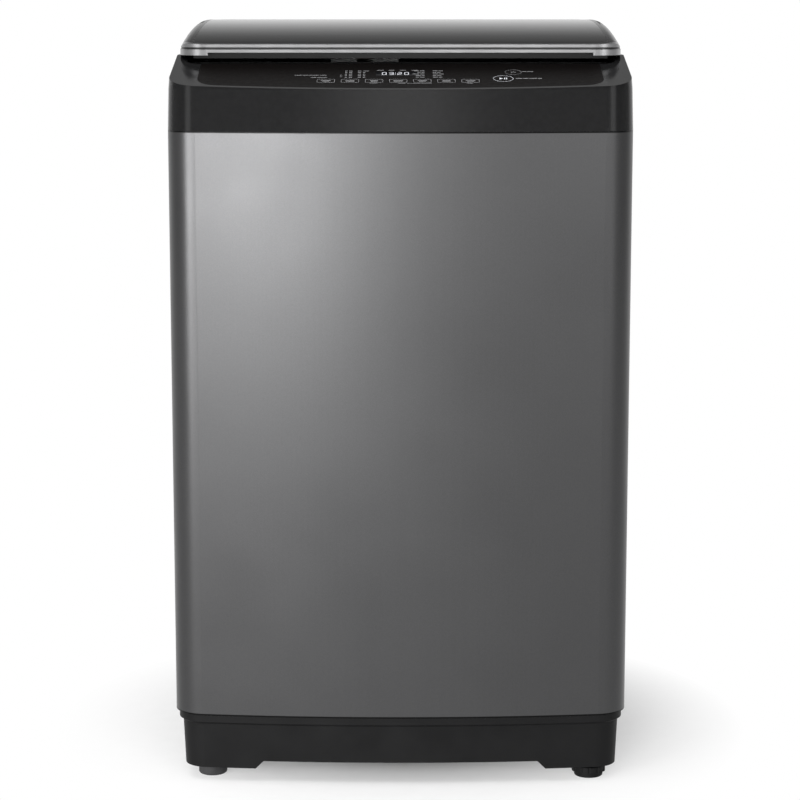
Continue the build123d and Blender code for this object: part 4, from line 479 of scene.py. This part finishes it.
def tube_along(path, radii, sides):
    """Points and faces of a round tube along a path, capped at both ends."""
    points, faces = [], []
    for i, (here, radius) in enumerate(zip(path, radii)):
        ahead = (path[min(i + 1, len(path) - 1)] - path[max(i - 1, 0)]).normalized()
        across = ahead.cross(Vector((0, 0, 1))).normalized()
        up = across.cross(ahead)
        for k in range(sides):
            turn = 2 * pi * k / sides
            points.append(here + radius * (cos(turn) * across + sin(turn) * up))
    for i in range(len(path) - 1):
        for k in range(sides):
            n = (k + 1) % sides
            faces.append((i * sides + k, i * sides + n, (i + 1) * sides + n, (i + 1) * sides + k))
    faces.append(tuple(range(sides)))
    last = (len(path) - 1) * sides
    faces.append(tuple(range(last, last + sides)))
    return points, faces


# ---------------------------------------------------------------- control panel print

# Places on the control deck are millimetres: x from the machine's middle, setback behind its front.

DECK_SLOPE = radians(14)
DECK_FRONT_Z = 0.8565       # the deck's plane at the front of the machine
PRINT_LIFT = 0.04 * MM
PRINT_THICK = 0.05 * MM

KEY_COUNT = 7
KEY_PITCH = 28.8
KEY_FIRST = -89.15
KEY_SETBACK = 37
KEY_OUTER = (21.4, 13.4, 2.2)   # width, depth and corner of the line round a key
KEY_INNER = (20.5, 12.5, 1.8)
KEY_CAPTION = (1.2, 11.5, 1.5)  # offset, width and depth of a key's upper bar
KEY_SUBTITLE = (-2.2, 8.0, 1.1)  # and of its lower one
SUBTITLE_MORE = 2.5         # every second lower bar is longer

START = (123, 46.5, 12.5)   # place, setback and radius
POWER = (136, 72.5, 10.5)
RING_INSET = 0.4            # printed ring inside the edge of a round key
START_LINE = 0.4
POWER_LINE = 0.35
PLAY_SIGN = ((-4.4, -3.4), (-0.2, 0), (-4.4, 3.4))
PAUSE_PLACES = (1.7, 4.1)
PAUSE_BAR = (1.1, 6.6)
STANDBY_RADIUS = 2.6
STANDBY_LINE = 0.6
STANDBY_STEM = (2.4, 3.2)   # middle and length of the short upright line

WORD_GAP = 1.1
LAMP_ROWS = 5
LAMP_FIRST = 51
LAMP_PITCH = 6.6
LAMP_DEPTH = 1.8
LAMPS_AND_ICONS = ((-65.5, 2.6), (-60, 3.6), (-49.5, 3.6), (-43.8, 2.6))    # place, width
PROGRAM_ENDS = 29           # where the left column of programme captions ends
PROGRAM_STARTS = 39         # where the right one starts
PROGRAM_RISE = 1
CAPTIONS = (                # place, setback, words, bar's depth
    (-127, 60, (9, 6, 12, 8), 1.2),
    (-108, 51, (7, 12), 1.2),
    (147, 75, (5, 7), 1.6),
    (138, 47, (8, 6, 9, 5), 1.8),
)
SMALL_BARS = (              # place, setback, width, depth
    (-41.5, 77.6, 7, 1.4),
    (-71.5, 60.5, 2.4, 1.2),
    (-71.5, 54.0, 2.4, 1.2),
    (-24, 80.5, 8, 1.4),
    (-11, 80.5, 7, 1.4),
    (3, 80.5, 7, 1.4),
    (17, 80.5, 7, 1.4),
    (1.5, 27.2, 9, 1.1),
    (-31.8, 27.8, 9, 1.1),
    (82.5, 27.8, 8, 1.1),
)
LINK = (8, 27.6)            # start of the curved line that links two keys
LINK_STEP = 3.2
LINK_STEPS = 9
LINK_SAG = 1.2
LINK_LINE = 0.7

DISPLAY = (-4, 67)
DIGIT_HALF_WIDTH = 2.3
DIGIT_HALF_DEPTH = 4.6
SEGMENT_LINE = 0.95
SEGMENT_GAP = 0.12          # share of a segment's length left dark at each end
SHOWN = ((0, -15.5), (3, -7.2), (2, 3.0), (0, 11.3))    # digit, offset from the display's middle
COLON_OFFSET = -2.1
COLON_STEP = 2.6
COLON_DOT = 1.2
SEGMENTS = {
    "top": ((-1, 1), (1, 1)),
    "middle": ((-1, 0), (1, 0)),
    "bottom": ((-1, -1), (1, -1)),
    "upper_left": ((-1, 0), (-1, 1)),
    "upper_right": ((1, 0), (1, 1)),
    "lower_left": ((-1, -1), (-1, 0)),
    "lower_right": ((1, -1), (1, 0)),
}
DIGITS = {
    0: ("top", "bottom", "upper_left", "upper_right", "lower_left", "lower_right"),
    2: ("top", "upper_right", "middle", "lower_left", "bottom"),
    3: ("top", "upper_right", "middle", "lower_right", "bottom"),
}


class Print:
    """Thin printed or lit marks that gather in one mesh on the tilted control deck."""

    def __init__(self):
        self.points = []
        self.faces = []

    def place(self, x, setback, height):
        """Point at a height in metres above a place on the deck."""
        y = FRONT_Y + setback * MM - height * sin(DECK_SLOPE)
        z = DECK_FRONT_Z + setback * MM * tan(DECK_SLOPE) + height * cos(DECK_SLOPE)
        return (x * MM, y, z)

    def area(self, outline):
        """Filled outline of (x, setback) points."""
        count = len(outline)
        start = len(self.points)
        for height in (PRINT_LIFT, PRINT_LIFT + PRINT_THICK):
            self.points += [self.place(x, s, height) for x, s in outline]
        self.faces.append(tuple(range(start + count, start + 2 * count)))
        for i in range(count):
            j = (i + 1) % count
            self.faces.append((start + i, start + j, start + count + j, start + count + i))

    def bar(self, x, setback, width, depth):
        """Rectangle centred on a place."""
        w, d = width / 2, depth / 2
        self.area([(x - w, setback - d), (x + w, setback - d), (x + w, setback + d), (x - w, setback + d)])

    def ring(self, outer, inner):
        """Frame between two outlines of the same number of points."""
        for i in range(len(outer)):
            j = (i + 1) % len(outer)
            self.area([outer[i], outer[j], inner[j], inner[i]])

    def stroke(self, path, width):
        """Line of even width along a path."""
        for (x0, s0), (x1, s1) in zip(path, path[1:]):
            length = ((x1 - x0) ** 2 + (s1 - s0) ** 2) ** 0.5
            u, v = (x1 - x0) / length * width / 2, (s1 - s0) / length * width / 2
            self.area([
                (x0 - u - v, s0 - v + u),
                (x0 - u + v, s0 - v - u),
                (x1 + u + v, s1 + v - u),
                (x1 + u - v, s1 + v + u),
            ])

    def caption(self, x, setback, words, depth=1.5, ends=False):
        """Row of bars of the words' lengths that starts at a place, or ends there."""
        total = sum(words) + WORD_GAP * (len(words) - 1)
        left = x - total if ends else x
        for length in words:
            self.bar(left + length / 2, setback, length, depth)
            left += length + WORD_GAP

    def piece(self, name, finish, body, slot):
        """Object for the gathered marks."""
        return new_piece(name, mesh_from(name, self.points, self.faces), finish, body)


def key_marks():
    """Outline and short caption bars on each rectangular key."""
    for number in range(KEY_COUNT):
        x = KEY_FIRST + number * KEY_PITCH
        marks = Print()
        marks.ring(rounded(x, KEY_SETBACK, *KEY_OUTER), rounded(x, KEY_SETBACK, *KEY_INNER))
        offset, width, depth = KEY_CAPTION
        marks.bar(x, KEY_SETBACK + offset, width - number % 3, depth)
        offset, width, depth = KEY_SUBTITLE
        marks.bar(x, KEY_SETBACK + offset, width + number % 2 * SUBTITLE_MORE, depth)
        name = f"key_{number + 1}"
        marks.piece(name + "_print", INK, name, "overlay_black")


def start_marks():
    """Ring with the play and pause signs."""
    x, s, radius = START
    outer = radius - RING_INSET
    marks = Print()
    marks.ring(circle(x, s, outer), circle(x, s, outer - START_LINE))
    marks.area([(x + u, s + v) for u, v in PLAY_SIGN])
    for offset in PAUSE_PLACES:
        marks.bar(x + offset, s, *PAUSE_BAR)
    marks.piece("start_key_print", LED, "start_key", "overlay_black")


def power_marks():
    """Ring with the stand-by sign."""
    x, s, radius = POWER
    outer = radius - RING_INSET
    marks = Print()
    marks.ring(circle(x, s, outer), circle(x, s, outer - POWER_LINE))
    turns = [radians(a) for a in range(40, 321, 20)]
    arc = [(x + STANDBY_RADIUS * sin(a), s + STANDBY_RADIUS * cos(a)) for a in turns]
    marks.stroke(arc, STANDBY_LINE)
    middle, length = STANDBY_STEM
    marks.bar(x, s + middle, STANDBY_LINE, length)
    marks.piece("power_key_print", INK, "power_key", "overlay_black")


def panel_marks():
    """Captions, lamps and icons printed on the overlay round the display."""
    marks = Print()
    for row in range(LAMP_ROWS):
        setback = LAMP_FIRST + row * LAMP_PITCH
        for x, width in LAMPS_AND_ICONS:
            marks.bar(x, setback, width, LAMP_DEPTH)
        level = setback + PROGRAM_RISE
        marks.caption(PROGRAM_ENDS, level, (4 + row % 3 * 2, 5.5 - row % 2 * 2), ends=True)
        marks.caption(PROGRAM_STARTS, level, (6 - row % 2 * 2, 4 + row % 3))
    for x, setback, words, depth in CAPTIONS:
        marks.caption(x, setback, words, depth)
    for small in SMALL_BARS:
        marks.bar(*small)
    x, setback = LINK
    sag = [LINK_SAG * sin(pi * i / LINK_STEPS) for i in range(LINK_STEPS + 1)]
    marks.stroke([(x + LINK_STEP * i, setback - drop) for i, drop in enumerate(sag)], LINK_LINE)
    marks.piece("panel_print", INK, "cabinet", "overlay_black")


def display_digits():
    """Seven-segment time left, 3 hours 20 minutes, behind the display lens."""
    lit = Print()
    for value, offset in SHOWN:
        x, s = DISPLAY[0] + offset, DISPLAY[1]
        for name in DIGITS[value]:
            (x0, s0), (x1, s1) = (
                (x + DIGIT_HALF_WIDTH * u, s + DIGIT_HALF_DEPTH * v) for u, v in SEGMENTS[name]
            )
            trim_x, trim_s = (x1 - x0) * SEGMENT_GAP, (s1 - s0) * SEGMENT_GAP
            lit.stroke([(x0 + trim_x, s0 + trim_s), (x1 - trim_x, s1 - trim_s)], SEGMENT_LINE)
    for step in (-COLON_STEP, COLON_STEP):
        lit.bar(DISPLAY[0] + COLON_OFFSET, DISPLAY[1] + step, COLON_DOT, COLON_DOT)
    lit.piece("display_digits", LED, "cabinet", "display_lens")


key_marks()
start_marks()
power_marks()
panel_marks()
display_digits()


# ---------------------------------------------------------------- basket

BASKET_COLUMNS = 96
BASKET_ROWS = 34
BASKET_SHEET = 0.9 * MM
BASKET_INSET = 0.05 * MM    # drum inside the solid it stands for
GROUP = 8                   # columns of one pierced group with its plain band
RIM_ROWS = 3                # plain rows at the top and at the foot
HOLE_SHARE = 0.30           # hole's radius as a share of a cell
FLUTE_DEPTH = 1.1 * MM
CELL_RIM = ((0, 0), (1, 0), (2, 0), (2, 1), (2, 2), (1, 2), (0, 2), (0, 1))  # half cells


def has_hole(column, row):
    """True where the drum's wall is pierced: staggered groups between plain bands."""
    if row < RIM_ROWS or row > BASKET_ROWS - RIM_ROWS:
        return False
    return (column + row) % 2 == 0 and column % GROUP not in (0, GROUP - 1)


def basket_point(radius, angle, z, centre):
    """Point of the drum's wall, with the shallow flutes pressed into it."""
    flute = FLUTE_DEPTH * (0.5 - 0.5 * cos(angle * BASKET_COLUMNS / GROUP))
    r = radius - flute
    return (centre.x + r * cos(angle), centre.y + r * sin(angle), z)


def perforated_basket():
    """Stainless drum wall with its drain holes, pressed from one sheet."""
    low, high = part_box("basket_wall")
    centre = (low + high) / 2
    radius = (high.x - low.x) / 2 - BASKET_INSET
    dz = (high.z - low.z) / BASKET_ROWS
    da = 2 * pi / BASKET_COLUMNS
    points, faces, index = [], [], {}

    def corner(column2, row2):
        """Index of a point on the half-cell grid."""
        key = (column2 % (2 * BASKET_COLUMNS), row2)
        if key not in index:
            index[key] = len(points)
            points.append(basket_point(radius, key[0] * da / 2, low.z + row2 * dz / 2, centre))
        return index[key]

    for column in range(BASKET_COLUMNS):
        for row in range(BASKET_ROWS):
            outer = [corner(2 * column + u, 2 * row + v) for u, v in CELL_RIM]
            if not has_hole(column, row):
                faces.append(tuple(outer))
                continue
            start = len(points)
            for u, v in CELL_RIM:
                turn = atan2(v - 1, u - 1)
                angle = (column + 0.5) * da + HOLE_SHARE * da * cos(turn)
                z = low.z + (row + 0.5) * dz + HOLE_SHARE * da * radius * sin(turn)
                points.append(basket_point(radius, angle, z, centre))
            for i in range(len(CELL_RIM)):
                j = (i + 1) % len(CELL_RIM)
                faces.append((outer[i], outer[j], start + j, start + i))
    mesh = mesh_from("basket_drum", points, faces, smooth=True)
    drum = new_piece("basket_drum", mesh, FINISHES["stainless"], "basket", ("basket_wall",))
    sheet = drum.modifiers.new("sheet", "SOLIDIFY")
    sheet.thickness = BASKET_SHEET
    sheet.offset = -1


# ---------------------------------------------------------------- lid seal

SEAL_WIDTH = 1.6 * MM
SEAL_RISE = 0.15 * MM
SEAL_DEPTH = 1.0 * MM
GLASS_CORNER = 22 * MM
CORNER_STEPS = 12


def glass_seal():
    """Black bead in the joint between the lid's glass and its frame."""
    low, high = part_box("lid_glass")
    middle, size = (low + high) / 2, high - low
    loops = []
    for grow in (SEAL_WIDTH / 2, -SEAL_WIDTH / 2):
        width, depth = size.x + 2 * grow, size.y + 2 * grow
        loops.append(rounded(middle.x, middle.y, width, depth, GLASS_CORNER + grow, CORNER_STEPS))
    points = []
    highest = CAD_BOX[1].z - SEAL_RISE
    for level in (SEAL_RISE, -SEAL_DEPTH):
        for loop in loops:
            points += [(x, y, min(lid_surface(y) + level, highest)) for x, y in loop]
    count = len(loops[0])
    faces = []
    for i in range(count):
        j = (i + 1) % count
        for a, b in ((0, 1), (1, 3), (3, 2), (2, 0)):
            faces.append((a * count + i, a * count + j, b * count + j, b * count + i))
    new_piece("glass_seal", mesh_from("glass_seal", points, faces), FINISHES["rubber"], "lid")


# ---------------------------------------------------------------- drain hose

HOSE_BEND = 26 * MM
HOSE_PITCH = 6.5 * MM
HOSE_RIB = 1.6 * MM
HOSE_STEP = HOSE_PITCH / 6
HOSE_SIDES = 20
ARC_STEPS = 12


def rounded_path(corners, bend):
    """Points of a path whose straight runs are joined by arcs."""
    points = [corners[0]]
    for before, corner, after in zip(corners, corners[1:], corners[2:]):
        inward = (corner - before).normalized()
        outward = (after - corner).normalized()
        turn = inward.angle(outward)
        centre = corner + (outward - inward).normalized() * bend / cos(turn / 2)
        arm = corner - inward * bend * tan(turn / 2) - centre
        for i in range(ARC_STEPS + 1):
            swing = Matrix.Rotation(turn * i / ARC_STEPS, 3, inward.cross(outward))
            points.append(centre + swing @ arm)
    return points + [corners[-1]]


def evenly_spaced(points, step):
    """The same path in equal steps of about the given length."""
    runs = [(there - here).length for here, there in zip(points, points[1:])]
    count = round(sum(runs) / step)
    spaced = []
    for i in range(count + 1):
        left, run = sum(runs) * i / count, 0
        while run < len(runs) - 1 and left > runs[run]:
            left -= runs[run]
            run += 1
        spaced.append(points[run].lerp(points[run + 1], left / runs[run]))
    return spaced


def ribbed_hose():
    """Corrugated drain hose that bends between the hanging tub and the lower rear outlet."""
    low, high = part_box("drain_hose")
    outlet_low, outlet_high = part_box("drain_outlet")
    outlet = (outlet_low + outlet_high) / 2
    radius = outlet.x - low.x
    valve_x, valve_z = high.x - radius, high.z - radius
    turn_y = (low.y + high.y) / 2
    corners = (
        Vector((valve_x, low.y, valve_z)),
        Vector((valve_x, turn_y, valve_z)),
        Vector((outlet.x, turn_y, outlet.z)),
        Vector((outlet.x, high.y, outlet.z)),
    )
    path = evenly_spaced(rounded_path(corners, HOSE_BEND), HOSE_STEP)
    radii = []
    for i in range(len(path)):
        wave = 0.5 - 0.5 * cos(2 * pi * i * HOSE_STEP / HOSE_PITCH)
        radii.append(radius - HOSE_RIB * wave)
    mesh = mesh_from("drain_hose_ribbed", *tube_along(path, radii, HOSE_SIDES), smooth=True)
    hose = new_piece("drain_hose_ribbed", mesh, FINISHES["hose_grey"], None, ("drain_hose",))
    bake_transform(hose)


# ---------------------------------------------------------------- suspension springs

SPRING_RADIUS = 15 * MM
SPRING_WIRE = 2 * MM
SPRING_TURNS = 8
TURN_STEPS = 20
WIRE_SIDES = 10


def coil_spring(name, x, y, low, high):
    """Compression spring with closed ends."""
    steps = TURN_STEPS * SPRING_TURNS
    open_turns = SPRING_TURNS - 2
    open_height = high - low - 6 * SPRING_WIRE
    path = []
    for i in range(steps + 1):
        turned = SPRING_TURNS * i / steps
        closed = 2 * SPRING_WIRE * (min(1, turned) + max(0, turned - open_turns - 1))
        share = min(1, max(0, (turned - 1) / open_turns))
        angle = 2 * pi * turned
        z = low + SPRING_WIRE + closed + share * open_height
        path.append(Vector((x + SPRING_RADIUS * cos(angle), y + SPRING_RADIUS * sin(angle), z)))
    mesh = mesh_from(name, *tube_along(path, [SPRING_WIRE] * len(path), WIRE_SIDES), smooth=True)
    spring = new_piece(name, mesh, FINISHES["shaft_steel"], "cabinet", ("suspension_springs",))
    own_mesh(spring)


def suspension_springs():
    """A spring in each corner of the box that the solid ones take up."""
    low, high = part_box("suspension_springs")
    reach = SPRING_RADIUS + SPRING_WIRE
    for side, x in (("left", low.x + reach), ("right", high.x - reach)):
        for end, y in (("front", low.y + reach), ("rear", high.y - reach)):
            coil_spring(f"spring_{end}_{side}", x, y, low.z, high.z)


perforated_basket()
glass_seal()
ribbed_hose()
suspension_springs()


# ---------------------------------------------------------------- floor, light and camera

FLOOR_HALF = 6
WHITE_EDGE = (0.18, 0.46)   # distance over which the floor turns to white background

# Edges and levels of the studio, by the direction that a mirrored ray takes: height is its Z,
# depth its Y and side the size of its X.
PLAIN_LEVEL = 0.45          # for rays that are not mirrored
HORIZON = (-0.03, 0.04)     # height
HORIZON_LEVEL = 0.72
BACKDROP_FALL = (0.05, 0.31)    # height
CEILING_LEVEL = 0.14
WING_EDGE = (0.35, 0.95)    # side
WING_LEVEL = 0.5
BEHIND_EDGE = (0.2, 0.6)    # depth
FLANK_EDGE = (0.12, 0.25)   # side
FLANK_LEVEL = 1.0
CANOPY_EDGE = (0.38, 0.50)  # height
CANOPY_LEVEL = 0.45
AHEAD_EDGE = (-0.9, -0.97)  # depth
WINDOW_EDGE = (0.01, 0.16)  # side
WINDOW_LEVEL = 2.4
FRONT_EDGE = (-0.2, -0.5)   # depth
STRIP_START = (0.5, 0.6)    # side
STRIP_END = (0.72, 0.85)    # side
STRIP_LEVEL = 2.5

BLACK_GLOSS = ("top_cover", "control_overlay", "lid_frame", "lid_trim", "lid_glass")
SOFTBOXES = (               # name, place, target, size, watts, pieces kept off, seen in mirrors
    ("left_box", (-1.05, -4.2, 0.85), (0, -0.2, 0.6), 1.1, 105, BLACK_GLOSS, True),
    ("left_wing", (-2.7, -3.2, 0.9), (-0.2, -0.2, 0.6), 1.6, 120, BLACK_GLOSS, True),
    ("right_box", (1.7, -4.0, 1.5), (0.2, -0.2, 0.7), 1.2, 30, BLACK_GLOSS, True),
    ("top_box", (-0.6, -0.8, 3.2), (0, 0, 0.3), 2.4, 60, (), False),
)

EYE = (-0.0006, FRONT_Y - 3.0, 0.9947)
CAMERA_TILT = radians(9.63)
SENSOR = 36
LENS = 113.7
FAR_CLIP = 100


def studio_floor():
    """Pale floor that keeps the object's shadow and turns to white background further out."""
    half = FLOOR_HALF
    corners = [(-half, -half, 0), (half, -half, 0), (half, half, 0), (-half, half, 0)]
    mesh = mesh_from("studio_floor", corners, [(0, 1, 2, 3)])
    g = Graph("pale_floor")
    speck = g.noise(40, 3)
    tone = g.blend(g.ramp(speck, 0, 1), (0.87, 0.87, 0.87), (0.9, 0.9, 0.9))
    g.finish(tone, g.ramp(speck, 0.75, 0.85), Specular_IOR_Level=0.1)
    distance = g.add("VectorMath", {0: g.place}, operation="LENGTH").outputs["Value"]
    share = g.math("MULTIPLY", g.ramp(distance, 0, 1, *WHITE_EDGE), g.seen_directly())
    white = g.add("Emission", {"Color": (1, 1, 1, 1), "Strength": 1.0})
    mix = g.add("MixShader", {0: share, 1: g.shader.outputs[0], 2: white.outputs[0]})
    g.links.new(mix.outputs[0], g.nodes["Material Output"].inputs["Surface"])
    mesh.materials.append(g.material)
    floor = bpy.data.objects.new("studio_floor", mesh)
    bpy.context.scene.collection.objects.link(floor)


def soft_world():
    """White for the camera, a studio of soft edges for mirrors, and a plain level for the rest."""
    world = bpy.data.worlds.new("studio")
    bpy.context.scene.world = world
    world.use_nodes = True
    t = Tree(world.node_tree)
    direction = t.add("SeparateXYZ", {0: t.add("TexCoord").outputs["Generated"]})
    height, depth = direction.outputs["Z"], direction.outputs["Y"]
    side = t.math("ABSOLUTE", direction.outputs["X"])
    behind = t.eased(depth, BEHIND_EDGE, 0, 1)

    horizon = t.eased(height, HORIZON, 1, HORIZON_LEVEL)
    ceiling = t.eased(height, BACKDROP_FALL, 1, CEILING_LEVEL)
    wings = t.eased(side, WING_EDGE, 1, WING_LEVEL)
    backdrop = t.math("MULTIPLY", horizon, ceiling, wings)
    flank = t.math("MULTIPLY", behind, t.eased(side, FLANK_EDGE, 0, FLANK_LEVEL))
    canopy = t.math("MULTIPLY", behind, t.eased(height, CANOPY_EDGE, 0, CANOPY_LEVEL))
    around = t.math("MAXIMUM", backdrop, flank, canopy)

    ahead = t.eased(depth, AHEAD_EDGE, 0, 1)
    window = t.math("MULTIPLY", ahead, t.eased(side, WINDOW_EDGE, WINDOW_LEVEL, 0))
    front = t.eased(depth, FRONT_EDGE, 0, 1)
    strip_start = t.eased(side, STRIP_START, 0, STRIP_LEVEL)
    strip_end = t.eased(side, STRIP_END, 1, 0)
    strip = t.math("MULTIPLY", front, strip_start, strip_end)

    direct = t.seen_directly()
    mirrored = t.math("MULTIPLY", t.math("ADD", around, window, strip), direct)
    plain = t.ramp(direct, PLAIN_LEVEL, 0, 0, 1)
    camera = t.add("LightPath").outputs["Is Camera Ray"]
    level = t.math("MAXIMUM", camera, t.math("ADD", plain, mirrored))
    background = t.nodes["Background"]
    background.inputs["Color"].default_value = (1, 1, 1, 1)
    t.feed(background.inputs["Strength"], level)


def soft_light(name, place, target, size, watts, kept_off, mirrored):
    """Square softbox aimed at a point; light linking keeps it off the named pieces."""
    lamp = bpy.data.lights.new(name, "AREA")
    lamp.shape = "SQUARE"
    lamp.size = size
    lamp.energy = watts
    box = bpy.data.objects.new(name, lamp)
    bpy.context.scene.collection.objects.link(box)
    box.location = place
    box.visible_camera = False
    box.visible_glossy = mirrored
    box.rotation_euler = (Vector(target) - Vector(place)).to_track_quat("-Z", "Y").to_euler()
    if kept_off:
        linked = bpy.data.collections.new(name + "_kept_off")
        box.light_linking.receiver_collection = linked
        for piece in kept_off:
            linked.objects.link(frame["nodes"][piece])
        for entry in linked.collection_objects:
            entry.light_linking.link_state = "EXCLUDE"


def photo_camera():
    """Eye level just above the lid, tilted down so that the whole machine is in the frame."""
    lens = bpy.data.cameras.new("photo_camera")
    lens.sensor_width = SENSOR
    lens.lens = LENS
    lens.clip_end = FAR_CLIP
    camera = bpy.data.objects.new("photo_camera", lens)
    bpy.context.scene.collection.objects.link(camera)
    camera.location = EYE
    camera.rotation_euler = (radians(90) - CAMERA_TILT, 0, 0)
    bpy.context.scene.camera = camera


studio_floor()
soft_world()
for softbox in SOFTBOXES:
    soft_light(*softbox)
photo_camera()

bpy.context.scene.view_settings.view_transform = "Standard"
